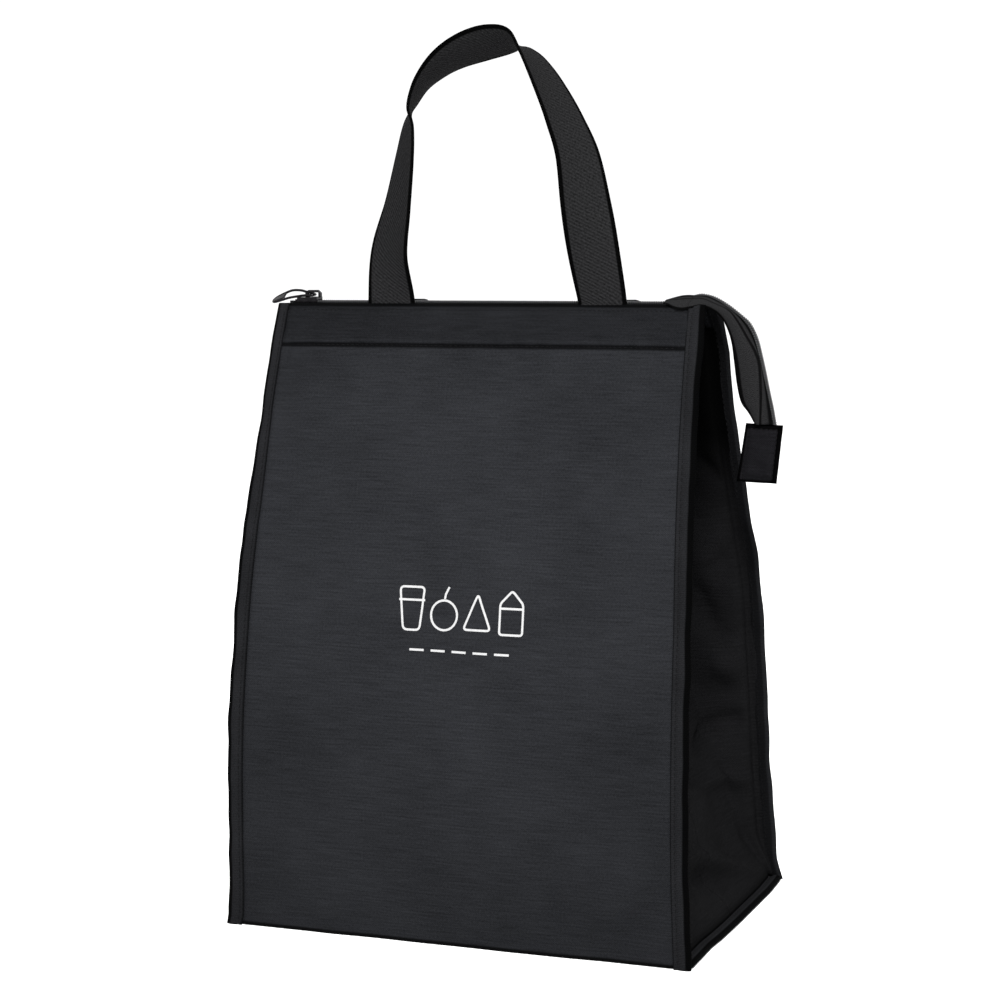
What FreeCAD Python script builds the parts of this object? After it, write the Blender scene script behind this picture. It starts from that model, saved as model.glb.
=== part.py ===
"""Soft insulated lunch bag, in millimetres.

The origin is the centre of the underside. +X is to the right seen from the front, the
front faces -Y and +Z is up. Both big walls are arcs about a line along X, so they stand
upright at the base and lean together at the zip, and the side gussets fold inward.
"""
import math
import os

import FreeCAD
import Part
import Sketcher

SIZES = {
    "bag_width": 260.0,
    "bag_depth": 160.0,
    "bag_height": 330.0,
    "bow_radius": 792.0,
    "side_taper": 8.5,
    "flange_width": 9.2,
    "fabric_thick": 1.2,
    "foam_thick": 4.5,
    "liner_thick": 0.6,
    "wall_thick": 6.5,
    "layer_gap": 0.1,
    "fold_gap": 1.5,
    "foam_top": 314.0,
    "liner_top": 316.0,
    "side_return": 3.4,
    "base_inset": 14.5,
    "base_fabric": 1.2,
    "base_foam_thick": 5.0,
    "binding_width": 9.0,
    "binding_thick": 3.0,
    "binding_proud": 0.6,
    "gusset_half": 72.6,
    "gusset_fold": 81.0,
    "gusset_top": 316.0,
    "gusset_foot": 3.3,
    "gusset_fabric": 2.5,
    "gusset_lining": 0.5,
    "tape_thick": 0.6,
    "tape_level": 328.4,
    "tape_edge": 2.4,
    "zip_left": 110.0,
    "zip_right": 112.0,
    "coil_level": 329.1,
    "coil_height": 2.2,
    "coil_width": 2.4,
    "coil_gap": 0.2,
    "stop_length": 1.2,
    "slider_x": 106.0,
    "slider_length": 12.0,
    "slider_half": 3.6,
    "slider_top": 332.7,
    "puller_pivot_x": 103.5,
    "puller_pivot_z": 333.9,
    "puller_reach": 25.5,
    "puller_half": 4.2,
    "tail_root": 113.4,
    "tail_top": 335.0,
    "tail_bend": 30.0,
    "tail_flap": 15.0,
    "tail_drop": 43.0,
    "tail_lean": 12.0,
    "tail_flap_thick": 0.8,
    "tab_length": 48.0,
    "tab_width": 21.0,
    "tab_half": 2.6,
    "webbing_width": 27.0,
    "webbing_thick": 1.8,
    "handle_centre": 6.8,
    "handle_spread": 120.0,
    "handle_rise": 141.0,
    "handle_foot": 332.6,
    "hanging_foot": 334.2,
    "handle_end_low": 318.0,
    "strap_lean": 5.0,
    "hang_angle": 142.0,
    "emblem_x": 3.0,
    "emblem_z": 176.0,
    "print_thick": 0.3,
}

doc = FreeCAD.newDocument("LunchBag")
sheet = doc.addObject("Spreadsheet::Sheet", "Sizes")
for row, (alias, size) in enumerate(SIZES.items(), start=1):
    sheet.set(f"A{row}", alias)
    sheet.set(f"B{row}", str(size))
    sheet.setAlias(f"B{row}", alias)
doc.recompute()

HALF_WIDTH = "Sizes.bag_width / 2"
BOW_CENTRE = "(Sizes.bow_radius - Sizes.bag_depth / 2)"
OUTER = "Sizes.bow_radius"
PARTS = {}


def value(expression):
    """The number an expression over the sheet gives."""
    result = sheet.evalExpression(str(expression))
    return float(getattr(result, "Value", result))


def add(*terms):
    """One expression that adds the terms."""
    return " + ".join(f"({term})" for term in terms)


def minus(first, *rest):
    """One expression that takes the rest from the first term."""
    return " - ".join(f"({term})" for term in (first,) + rest)


# ---------------------------------------------------------------- sketches


def new_body(name):
    body = doc.addObject("PartDesign::Body", name)
    body.Label = name
    PARTS[name] = body
    return body


def new_sketch(body, role, offset="0"):
    """A sketch on one of the body's own origin planes, moved along its normal."""
    plane = next(f for f in body.Origin.OriginFeatures if f.Role == role)
    sketch = body.newObject("Sketcher::SketchObject", f"{body.Label}_sketch")
    sketch.AttachmentSupport = [(plane, "")]
    sketch.MapMode = "FlatFace"
    sketch.setExpression("AttachmentOffset.Base.z", str(offset))
    return sketch


def bind(sketch, kind, *where_and_value):
    """A dimension constraint that follows an expression."""
    *where, expression = where_and_value
    index = sketch.addConstraint(Sketcher.Constraint(kind, *where, value(expression)))
    sketch.setExpression(f"Constraints[{index}]", str(expression))


def polygon(sketch, points):
    """A closed outline whose corners follow pairs of expressions."""
    corners = [FreeCAD.Vector(value(u), value(v), 0) for u, v in points]
    lines = []
    for start, end in zip(corners, corners[1:] + corners[:1]):
        lines.append(sketch.addGeometry(Part.LineSegment(start, end), False))
    for line, following in zip(lines, lines[1:] + lines[:1]):
        sketch.addConstraint(Sketcher.Constraint("Coincident", line, 2, following, 1))
    for line, (u, v) in zip(lines, points):
        bind(sketch, "DistanceX", -1, 1, line, 1, u)
        bind(sketch, "DistanceY", -1, 1, line, 1, v)


def circle(sketch, u, v, radius):
    centre = FreeCAD.Vector(value(u), value(v), 0)
    ring = Part.Circle(centre, FreeCAD.Vector(0, 0, 1), value(radius))
    index = sketch.addGeometry(ring, False)
    bind(sketch, "DistanceX", -1, 1, index, 3, u)
    bind(sketch, "DistanceY", -1, 1, index, 3, v)
    bind(sketch, "Radius", index, radius)


def bow_band(sketch, outer, inner, low, high):
    """The side view of one wall layer: a strip between two arcs about the bow centre."""
    centre = FreeCAD.Vector(value(BOW_CENTRE), 0, 0)
    arcs = []
    for radius in (outer, inner):
        size = value(radius)
        top_angle = math.pi - math.asin(value(high) / size)
        low_angle = math.pi - math.asin(value(low) / size)
        whole = Part.Circle(centre, FreeCAD.Vector(0, 0, 1), size)
        arcs.append(sketch.addGeometry(Part.ArcOfCircle(whole, top_angle, low_angle), False))
    first, second = (sketch.getPoint(arc, 1) for arc in arcs)
    third, fourth = (sketch.getPoint(arc, 2) for arc in arcs)
    top = sketch.addGeometry(Part.LineSegment(first, second), False)
    foot = sketch.addGeometry(Part.LineSegment(third, fourth), False)
    for line, end in ((top, 1), (foot, 2)):
        sketch.addConstraint(Sketcher.Constraint("Coincident", line, 1, arcs[0], end))
        sketch.addConstraint(Sketcher.Constraint("Coincident", line, 2, arcs[1], end))
        sketch.addConstraint(Sketcher.Constraint("Horizontal", line))
    sketch.addConstraint(Sketcher.Constraint("Coincident", arcs[0], 3, arcs[1], 3))
    bind(sketch, "DistanceX", -1, 1, arcs[0], 3, BOW_CENTRE)
    bind(sketch, "DistanceY", -1, 1, arcs[0], 3, "0")
    bind(sketch, "Radius", arcs[0], outer)
    bind(sketch, "Radius", arcs[1], inner)
    bind(sketch, "DistanceY", -1, 1, arcs[0], 1, high)
    bind(sketch, "DistanceY", -1, 1, arcs[0], 2, low)


# ---------------------------------------------------------------- features


def pad(body, sketch, length, symmetric=True):
    feature = body.newObject("PartDesign::Pad", f"{body.Label}_pad")
    feature.Profile = sketch
    feature.SideType = "Symmetric" if symmetric else "One side"
    feature.setExpression("Length", str(length))
    doc.recompute()
    return feature


def cut_through(body, sketch):
    """Removes what the outline covers, and stops if nothing was removed."""
    before = body.Tip.Shape.Volume
    feature = body.newObject("PartDesign::Pocket", f"{body.Label}_cut")
    feature.Profile = sketch
    feature.Type = "ThroughAll"
    feature.SideType = "Symmetric"
    doc.recompute()
    if not 0 < feature.Shape.Volume < before - 0.01:
        raise RuntimeError(f"the cut on {body.Label} removed nothing")
    return feature


def block(name, low, high):
    """A plain board between two corners, each three expressions."""
    body = new_body(name)
    sketch = new_sketch(body, "XY_Plane", low[2])
    polygon(sketch, [(low[0], low[1]), (high[0], low[1]), (high[0], high[1]), (low[0], high[1])])
    pad(body, sketch, minus(high[2], low[2]), symmetric=False)
    return body


def mirrored(name, source, normal):
    copy = doc.addObject("Part::Mirroring", name)
    copy.Label = name
    copy.Source = PARTS[source]
    copy.Normal = normal
    copy.Base = FreeCAD.Vector(0, 0, 0)
    PARTS[name] = copy
    return copy


ACROSS = FreeCAD.Vector(1, 0, 0)
FRONT_TO_BACK = FreeCAD.Vector(0, 1, 0)

# ---------------------------------------------------------------- walls


def side_line(inset, height):
    """Half the bag's width at a height, less an inset."""
    return f"{HALF_WIDTH} - ({inset}) - Sizes.side_taper * ({height}) / Sizes.bag_height"


def wall_frame(sketch):
    """An outline well outside the wall, so that the cut leaves only what lies inside the next one."""
    reach = "Sizes.bag_width"
    low, high = "-Sizes.bag_height / 4", "Sizes.bag_height * 5 / 4"
    polygon(sketch, [(f"-{reach}", low), (reach, low), (reach, high), (f"-{reach}", high)])


def wall_layer(name, outer, inner, low, high, inset):
    """A wall layer with its sides cut to the bag's taper."""
    body = new_body(name)
    band = new_sketch(body, "YZ_Plane")
    bow_band(band, outer, inner, low, high)
    pad(body, band, "Sizes.bag_width")
    outline = new_sketch(body, "XZ_Plane")
    wall_frame(outline)
    bottom, top = "-10", add("Sizes.bag_height", "10")
    wide, narrow = side_line(inset, bottom), side_line(inset, top)
    polygon(
        outline,
        [(f"-({wide})", bottom), (wide, bottom), (narrow, top), (f"-({narrow})", top)],
    )
    cut_through(body, outline)
    return body


def depth_in(*layers):
    """The radius of a wall surface, some layers in from the outer face."""
    return minus(OUTER, *layers)


FABRIC = "Sizes.fabric_thick"
GAP = "Sizes.layer_gap"
FOAM = "Sizes.foam_thick"
WALL = "Sizes.wall_thick"
SIDE_INSET = "Sizes.flange_width + Sizes.side_return"

wall_layer(
    "front_panel",
    OUTER,
    depth_in(FABRIC),
    "Sizes.fold_gap",
    "Sizes.bag_height",
    "Sizes.flange_width",
)
wall_layer(
    "front_foam",
    depth_in(FABRIC, GAP),
    depth_in(FABRIC, GAP, FOAM),
    "Sizes.fold_gap + 0.5",
    "Sizes.foam_top",
    SIDE_INSET,
)
wall_layer(
    "front_liner",
    depth_in(WALL, "-Sizes.liner_thick"),
    depth_in(WALL),
    "Sizes.fold_gap + 0.5",
    "Sizes.liner_top",
    SIDE_INSET,
)
WEBBING = "Sizes.webbing_thick"
POCKET = f"{WEBBING} + 0.2"
wall_layer(
    "front_hem_facing",
    depth_in(FABRIC, GAP, POCKET),
    depth_in(FABRIC, FABRIC, GAP, POCKET),
    "Sizes.foam_top + 1",
    "Sizes.bag_height - 0.9",
    SIDE_INSET,
)

# ---------------------------------------------------------------- binding round the sides


def side_binding(name):
    """The tape that wraps the flange down the right edge of the front wall."""
    body = new_body(name)
    band = new_sketch(body, "YZ_Plane")
    outer = add(OUTER, "Sizes.binding_proud")
    bow_band(band, outer, minus(outer, "Sizes.binding_thick"), "0.3", "Sizes.bag_height")
    pad(body, band, "Sizes.bag_width + 40")
    outline = new_sketch(body, "XZ_Plane")
    wall_frame(outline)
    bottom, top = "-10", add("Sizes.bag_height", "10")
    corners = [
        (side_line("Sizes.binding_width", bottom), bottom),
        (side_line("0", bottom), bottom),
        (side_line("0", top), top),
        (side_line("Sizes.binding_width", top), top),
    ]
    polygon(outline, corners)
    cut_through(body, outline)


side_binding("front_binding_right")
mirrored("front_binding_left", "front_binding_right", ACROSS)

# ---------------------------------------------------------------- base

FOOT = "Sizes.bag_depth / 2"
INNER_FOOT = f"{FOOT} - Sizes.wall_thick - 0.5"
BASE_SIDE = f"{HALF_WIDTH} - Sizes.base_inset"
FOAM_LOW = "Sizes.base_fabric + 0.1"
FOAM_HIGH = f"{FOAM_LOW} + Sizes.base_foam_thick"
LINER_HIGH = f"{FOAM_HIGH} + Sizes.liner_thick + 0.1"
PANEL_SIDE = f"{HALF_WIDTH} - Sizes.flange_width"

block("base_panel", (f"-({PANEL_SIDE})", f"-({FOOT})", "0"), (PANEL_SIDE, FOOT, "Sizes.base_fabric"))
block("base_foam", (f"-({BASE_SIDE})", f"-({INNER_FOOT})", FOAM_LOW), (BASE_SIDE, INNER_FOOT, FOAM_HIGH))
block(
    "base_liner",
    (f"-({BASE_SIDE})", f"-({INNER_FOOT})", f"{FOAM_HIGH} + 0.1"),
    (BASE_SIDE, INNER_FOOT, LINER_HIGH),
)
block(
    "base_binding_right",
    (f"{HALF_WIDTH} - Sizes.binding_width", f"-({FOOT} - 4)", "0"),
    (HALF_WIDTH, f"{FOOT} - 4", "Sizes.binding_thick"),
)
mirrored("base_binding_left", "base_binding_right", ACROSS)

# ---------------------------------------------------------------- gussets

GUSSET_X = f"({PANEL_SIDE} + 0.2)"
LEAN = "(Sizes.gusset_fold / Sizes.gusset_top)"
CREASE_GAP = "0.7"
CREASE_END = "1.3"


def lean_x(height, inward="0"):
    """Where the folded-in centre of the right gusset stands at a height."""
    return f"{GUSSET_X} - {LEAN} * ({height}) - ({inward})"


def diagonal_y(height):
    """Where the front diagonal fold of the gusset runs at a height."""
    rise = f"(Sizes.gusset_half - {CREASE_END}) / (Sizes.gusset_top - Sizes.gusset_foot)"
    return f"(({height}) - Sizes.gusset_foot) * {rise} - Sizes.gusset_half"


def gusset_centre(name, near, far, foot):
    """The front half of the gusset's centre: a leaning sheet cut along the diagonal fold."""
    body = new_body(name)
    top = "Sizes.gusset_top"
    profile = new_sketch(body, "XZ_Plane", CREASE_GAP)
    corners = [
        (lean_x(foot, near), foot),
        (lean_x(foot, far), foot),
        (lean_x(top, far), top),
        (lean_x(top, near), top),
    ]
    polygon(profile, corners)
    pad(body, profile, f"Sizes.gusset_half - {CREASE_GAP}", symmetric=False)
    outline = new_sketch(body, "YZ_Plane")
    above = f"{top} + 10"
    beyond = "-Sizes.gusset_half - 10"
    corners = [
        (diagonal_y("Sizes.gusset_foot"), "Sizes.gusset_foot"),
        (diagonal_y(top), top),
        (diagonal_y(top), above),
        (beyond, above),
        (beyond, "Sizes.gusset_foot"),
    ]
    polygon(outline, corners)
    cut_through(body, outline)


def wall_y(radius, height):
    """How far forward a wall surface of a given radius stands at a height."""
    return f"{BOW_CENTRE} - sqrt(({radius}) ^ 2 - ({height}) ^ 2)"


def pleat_section(body, height, thick, lift, wraps):
    """One level of the pleat between the wall's side edge and the diagonal fold."""
    sketch = new_sketch(body, "XY_Plane", height)
    side = side_line("Sizes.flange_width + 0.5", height)
    corner_x = f"{side} - Sizes.gusset_fabric" if wraps else f"{side} - Sizes.gusset_fabric - 0.2"
    end_x = lean_x(height, "1")
    end_y = f"{diagonal_y(height)} - 0.4 - ({lift})"
    seam_y = f"min({wall_y(depth_in(WALL), height)} + 3.5 - ({lift}); {end_y} - 0.1)"
    inner_y = f"({seam_y}) - {thick}"
    start_y = wall_y(depth_in("Sizes.binding_thick - Sizes.binding_proud + 0.2"), height)
    if wraps:
        points = [
            (side, start_y),
            (side, seam_y),
            (end_x, end_y),
            (end_x, f"{end_y} - {thick}"),
            (corner_x, inner_y),
            (corner_x, start_y),
        ]
    else:
        points = [(corner_x, seam_y), (end_x, end_y), (end_x, f"{end_y} - {thick}"), (corner_x, inner_y)]
    polygon(sketch, points)
    return sketch


def pleat(name, thick, lift, wraps, levels):
    body = new_body(name)
    sections = [pleat_section(body, level, thick, lift, wraps) for level in levels]
    feature = body.newObject("PartDesign::AdditiveLoft", f"{name}_loft")
    feature.Profile = sections[0]
    feature.Sections = sections[1:]
    feature.Ruled = True
    doc.recompute()


LEVELS = ["24", "70", "120", "170", "220", "270", "Sizes.gusset_top"]
CLOTH = "Sizes.gusset_fabric"
LINING = "Sizes.gusset_lining"
gusset_centre("gusset_right_front", "0", CLOTH, "Sizes.gusset_foot")
gusset_centre("gusset_liner_right_front", f"{CLOTH} + 0.1", f"{CLOTH} + 0.1 + {LINING}", "7.6")
pleat("pleat_right_front", CLOTH, "0", True, ["3.6"] + LEVELS)
pleat("pleat_liner_right_front", LINING, f"{CLOTH} + 0.1", False, LEVELS)

for kind in ("gusset", "gusset_liner", "pleat", "pleat_liner"):
    mirrored(f"{kind}_left_front", f"{kind}_right_front", ACROSS)
    mirrored(f"{kind}_right_back", f"{kind}_right_front", FRONT_TO_BACK)
    mirrored(f"{kind}_left_back", f"{kind}_left_front", FRONT_TO_BACK)

# ---------------------------------------------------------------- zip

ZIP_LENGTH = "Sizes.zip_left + Sizes.zip_right"
ZIP_MIDDLE = "(Sizes.zip_right - Sizes.zip_left) / 2"


def zip_tape():
    """The tape: sewn down inside the hem, then lying level to the coil."""
    body = new_body("zip_tape_front")
    profile = new_sketch(body, "YZ_Plane", ZIP_MIDDLE)
    low = "Sizes.liner_top + 1"
    behind = depth_in(FABRIC, FABRIC, GAP, GAP, POCKET)
    level = "Sizes.tape_level"
    thick = "Sizes.tape_thick"
    high = add(level, thick)
    corners = [
        (add(wall_y(behind, low), "0.3"), low),
        (add(wall_y(behind, low), "0.3", thick), low),
        (add(wall_y(behind, high), "0.3", thick), level),
        ("-Sizes.tape_edge", level),
        ("-Sizes.tape_edge", high),
        (add(wall_y(behind, high), "0.2"), high),
    ]
    polygon(profile, corners)
    pad(body, profile, ZIP_LENGTH)


zip_tape()
COIL_LOW = "Sizes.coil_level"
COIL_HIGH = add(COIL_LOW, "Sizes.coil_height")
COIL_FAR = "-(Sizes.coil_gap + Sizes.coil_width)"


def zip_coil():
    """One row of coil, with its outer upper edge bevelled."""
    body = new_body("zip_coil_front")
    profile = new_sketch(body, "YZ_Plane", ZIP_MIDDLE)
    corners = [
        (COIL_FAR, COIL_LOW),
        ("-Sizes.coil_gap", COIL_LOW),
        ("-Sizes.coil_gap", COIL_HIGH),
        (f"{COIL_FAR} + 0.8", COIL_HIGH),
        (COIL_FAR, f"{COIL_HIGH} - 0.8"),
    ]
    polygon(profile, corners)
    pad(body, profile, ZIP_LENGTH)


zip_coil()
STOP_RIGHT = "-(Sizes.zip_left + 2.4)"
block(
    "zip_stop_front",
    (f"{STOP_RIGHT} - Sizes.stop_length", COIL_FAR, "Sizes.tape_level"),
    (STOP_RIGHT, "-Sizes.coil_gap", f"{COIL_HIGH} + 0.3"),
)

for piece in ("panel", "foam", "liner", "hem_facing", "binding_right", "binding_left"):
    mirrored(f"back_{piece}", f"front_{piece}", FRONT_TO_BACK)
for piece in ("zip_tape", "zip_coil", "zip_stop"):
    mirrored(f"{piece}_back", f"{piece}_front", FRONT_TO_BACK)

# ---------------------------------------------------------------- slider and puller


def zip_slider():
    """A bridge over the coil with short side flanges and an arched bail on top."""
    body = new_body("zip_slider")
    half, top = "Sizes.slider_half", "Sizes.slider_top"
    inner = f"{half} - 0.7"
    skirt = "Sizes.tape_level + Sizes.tape_thick + 0.4"
    under = f"{COIL_HIGH} + 0.25"
    bridge = new_sketch(body, "YZ_Plane", "-Sizes.slider_x")
    corners = [
        (f"-{half}", skirt),
        (f"-({inner})", skirt),
        (f"-({inner})", under),
        (inner, under),
        (inner, skirt),
        (half, skirt),
        (half, f"{top} - 0.4"),
        (f"{half} - 0.4", top),
        (f"0.4 - {half}", top),
        (f"-{half}", f"{top} - 0.4"),
    ]
    polygon(bridge, corners)
    pad(body, bridge, "Sizes.slider_length")
    bail = new_sketch(body, "XZ_Plane")
    pivot = "-Sizes.puller_pivot_x"
    sunk = f"{top} - 0.3"
    crown = f"{top} + 3.8"
    outer = [
        (f"{pivot} - 4.6", sunk),
        (f"{pivot} + 4.6", sunk),
        (f"{pivot} + 4.6", f"{top} + 2.2"),
        (f"{pivot} + 2.8", crown),
        (f"{pivot} - 2.8", crown),
        (f"{pivot} - 4.6", f"{top} + 2.2"),
    ]
    polygon(bail, outer)
    inner_top = f"{top} + 2.5"
    inner_low = f"{top} + 0.2"
    hole = [
        (f"{pivot} - 3.2", inner_low),
        (f"{pivot} + 3.2", inner_low),
        (f"{pivot} + 3.2", inner_top),
        (f"{pivot} - 3.2", inner_top),
    ]
    polygon(bail, hole)
    pad(body, bail, "2")


def zip_puller():
    """A long tab with an eye whose crossbar turns under the bail."""
    body = new_body("zip_puller")
    pivot, level = "-Sizes.puller_pivot_x", "Sizes.puller_pivot_z"
    half, reach = "Sizes.puller_half", "Sizes.puller_reach"
    outline = new_sketch(body, "XY_Plane", f"{level} - 0.55")
    outer = [
        (f"{pivot} + 0.7", "-3"),
        (f"{pivot} + 0.7", "3"),
        (f"{pivot} - 6.5", "3"),
        (f"{pivot} - 9", half),
        (f"{pivot} - {reach} + 3", half),
        (f"{pivot} - {reach}", f"{half} - 2"),
        (f"{pivot} - {reach}", f"2 - {half}"),
        (f"{pivot} - {reach} + 3", f"-{half}"),
        (f"{pivot} - 9", f"-{half}"),
        (f"{pivot} - 6.5", "-3"),
    ]
    polygon(outline, outer)
    near, far = f"{pivot} - 0.7", f"{pivot} - 6.2"
    eye = [(near, "-1.7"), (near, "1.7"), (far, "1.7"), (far, "-1.7")]
    polygon(outline, eye)
    pad(body, outline, "1.1", symmetric=False)


zip_slider()
zip_puller()

# ---------------------------------------------------------------- zip tail

BEND_X = "(Sizes.tail_root + 4.6)"
BEND_Z = "(Sizes.tail_top - Sizes.tail_bend)"


def tail_line(inset):
    """Points along the tail, some way in from its outer ridge: level, round the bend, down."""
    radius = f"(Sizes.tail_bend - ({inset}))"
    points = [("Sizes.tail_root", f"{BEND_Z} + {radius}")]
    steps = 7
    for step in range(steps + 1):
        turn = f"((90 - Sizes.tail_lean) * {step} / {steps})"
        points.append((f"{BEND_X} + {radius} * sin({turn})", f"{BEND_Z} + {radius} * cos({turn})"))
    last_x, last_z = points[-1]
    points.append(
        (
            f"{last_x} + Sizes.tail_drop * sin(Sizes.tail_lean)",
            f"{last_z} - Sizes.tail_drop * cos(Sizes.tail_lean)",
        )
    )
    return points


def tail_strip(name, near, far, offset, thick, symmetric=False):
    """A strip of the tail between two insets, laid flat in the zip's plane."""
    body = new_body(name)
    sketch = new_sketch(body, "XZ_Plane", offset)
    polygon(sketch, tail_line(near) + tail_line(far)[::-1])
    pad(body, sketch, thick, symmetric)


tail_strip("tail_coil", "0", "2.8", "0", "4.4", symmetric=True)
tail_strip("tail_tape_front", "0.8", "Sizes.tail_flap", "2.4", "Sizes.tail_flap_thick")
mirrored("tail_tape_back", "tail_tape_front", FRONT_TO_BACK)


def end_tab():
    """The folded fabric end sewn over the bottom of the tail."""
    body = new_body("zip_end_tab")
    sketch = new_sketch(body, "XZ_Plane")
    top_x, top_z = tail_line("0")[-1]
    down = "Sizes.tab_length * 2 / 3"
    top_z = f"{top_z} - 0.6"
    corners = [
        (f"{top_x} + 2.7", top_z),
        (f"{top_x} - Sizes.tab_width + 5", f"{top_z} - 3.4"),
        (f"{top_x} - Sizes.tab_width - 1.1", f"{top_z} - {down} + 0.8"),
        (f"{top_x} - 1.3", f"{top_z} - {down} + 1.2"),
    ]
    polygon(sketch, corners)
    pad(body, sketch, "Sizes.tab_half * 2")


end_tab()

# ---------------------------------------------------------------- print on the front


def ring_outline(sketch, centre_x, centre_z, outer, inner):
    """A line drawing as two nested outlines, given about a centre."""
    for corners in (outer, inner):
        polygon(sketch, [(add(centre_x, u), add(centre_z, v)) for u, v in corners])


def emblem():
    """Four plain line drawings in a row, cup, fruit, wedge and carton, over five dashes."""
    body = new_body("front_emblem")
    band = new_sketch(body, "YZ_Plane")
    lifted = add(OUTER, "0.05")
    bow_band(band, add(lifted, "Sizes.print_thick"), lifted, "150", "195")
    pad(body, band, "100")
    outline = new_sketch(body, "XZ_Plane")
    wall_frame(outline)
    middle, level = "Sizes.emblem_x", "Sizes.emblem_z"
    cup = f"{middle} - 27.5"
    ring_outline(
        outline,
        cup,
        level,
        [(-5.5, -12), (5.5, -12), (8, 12), (-8, 12)],
        [(-3.6, -9.8), (3.6, -9.8), (5.6, 9.8), (-5.6, 9.8)],
    )
    fruit = f"{middle} - 9.2"
    circle(outline, fruit, f"{level} - 2.5", "8.6")
    circle(outline, fruit, f"{level} - 2.5", "6.4")
    stalk = [(-1, 7), (1.2, 7), (3.2, 12), (1, 12)]
    polygon(outline, [(add(fruit, u), add(level, v)) for u, v in stalk])
    wedge = f"{middle} + 9.6"
    ring_outline(
        outline,
        wedge,
        level,
        [(-9, -10), (9, -10), (0, 11)],
        [(-5.6, -7.8), (5.6, -7.8), (0, 5.4)],
    )
    carton = f"{middle} + 28.4"
    ring_outline(
        outline,
        carton,
        level,
        [(-7.4, -12), (7.4, -12), (7.4, 5), (0, 13), (-7.4, 5)],
        [(-5.2, -9.8), (5.2, -9.8), (5.2, 4), (0, 9.6), (-5.2, 4)],
    )
    dash_low, dash_high = f"{level} - 22", f"{level} - 20.2"
    for number in range(5):
        left = f"{middle} - 28 + {number} * 12"
        right = f"{left} + 8"
        polygon(outline, [(left, dash_low), (right, dash_low), (right, dash_high), (left, dash_high)])
    cut_through(body, outline)


emblem()

# ---------------------------------------------------------------- handles

# Along each strap: how far across the spread, how far up the rise, and the turn of its width.
FRONT_STRAP = (
    (-0.500, 0.00, 0),
    (-0.498, 0.16, -20),
    (-0.458, 0.34, -35),
    (-0.424, 0.52, -46),
    (-0.374, 0.72, -68),
    (-0.265, 0.87, -80),
    (-0.100, 0.97, -87),
    (0.030, 1.00, -92),
    (0.160, 0.955, -97),
    (0.258, 0.85, -103),
    (0.340, 0.70, -113),
    (0.405, 0.52, -128),
    (0.446, 0.34, -146),
    (0.476, 0.16, -166),
    (0.500, 0.00, -180),
)
BACK_STRAP = (
    (-0.500, 0.00, 0),
    (-0.500, 0.30, -2),
    (-0.470, 0.52, -16),
    (-0.390, 0.74, -48),
    (-0.260, 0.90, -78),
    (-0.100, 0.98, -88),
    (0.000, 1.00, -90),
    (0.100, 0.98, -92),
    (0.260, 0.90, -102),
    (0.390, 0.74, -132),
    (0.470, 0.52, -164),
    (0.500, 0.30, -178),
    (0.500, 0.00, -180),
)


STRAP_STEPS = 3


def between(before, start, end, after, part):
    """A value on the smooth curve through four stations, part of the way from start to end."""
    bend = 2 * before - 5 * start + 4 * end - after
    twist = 3 * start - before - 3 * end + after
    return start + 0.5 * part * (end - before + part * (bend + part * twist))


def smooth_path(path):
    """The stations with points on a smooth curve filled in between them."""
    last = len(path) - 1
    filled = []
    for index in range(last):
        four = [path[min(max(index + shift, 0), last)] for shift in (-1, 0, 1, 2)]
        for step in range(STRAP_STEPS):
            part = step / STRAP_STEPS
            filled.append(tuple(between(*column, part) for column in zip(*four)))
    filled.append(path[last])
    return filled


def strap_points(path, lean, foot):
    """Centre points of a strap, and the direction of its width at each."""
    foot_y = value(wall_y(depth_in(FABRIC), "Sizes.bag_height")) + 0.2
    centres, turns = [], []
    for across, up, turn in smooth_path(path):
        x = value("Sizes.handle_centre") + across * value("Sizes.handle_spread")
        z = foot + up * value("Sizes.handle_rise")
        forward = lean * min(1.0, up * 3.0)
        centres.append(FreeCAD.Vector(x, foot_y - forward, z))
        angle = math.radians(turn)
        turns.append(FreeCAD.Vector(math.cos(angle), math.sin(angle), 0))
    return centres, turns


def strap_solid(path, lean, foot):
    """The twisted webbing loop, lofted through flat sections square to its path."""
    centres, turns = strap_points(path, lean, foot)
    half_width = value("Sizes.webbing_width") / 2
    half_thick = value("Sizes.webbing_thick") / 2
    last = len(centres) - 1
    sections = []
    for index, (centre, width) in enumerate(zip(centres, turns)):
        along = (centres[min(index + 1, last)] - centres[max(index - 1, 0)]).normalize()
        if index in (0, last):
            along = FreeCAD.Vector(0, 0, 1 if index == 0 else -1)
        across = (width - along * width.dot(along)).normalize()
        face = along.cross(across).normalize()
        corners = []
        for side, lift in ((-1, -1), (1, -1), (1, 1), (-1, 1)):
            corners.append(centre + across * (side * half_width) + face * (lift * half_thick))
        sections.append(Part.makePolygon(corners + corners[:1]))
    return Part.makeLoft(sections, True, True)


def handle(name, shape):
    feature = doc.addObject("Part::Feature", name)
    feature.Label = name
    feature.Shape = shape
    PARTS[name] = feature


def hanging_strap(foot):
    """The back strap, turned down behind the back wall from its hem."""
    shape = strap_solid(BACK_STRAP, 0.0, foot)
    shape = shape.mirror(FreeCAD.Vector(0, 0, 0), FRONT_TO_BACK)
    hem = -value(wall_y(depth_in(FABRIC), "Sizes.bag_height"))
    shape.rotate(FreeCAD.Vector(0, hem, foot), FreeCAD.Vector(-1, 0, 0), value("Sizes.hang_angle"))
    return shape


handle("front_handle", strap_solid(FRONT_STRAP, value("Sizes.strap_lean"), value("Sizes.handle_foot")))
handle("back_handle", hanging_strap(value("Sizes.hanging_foot")))


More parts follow.
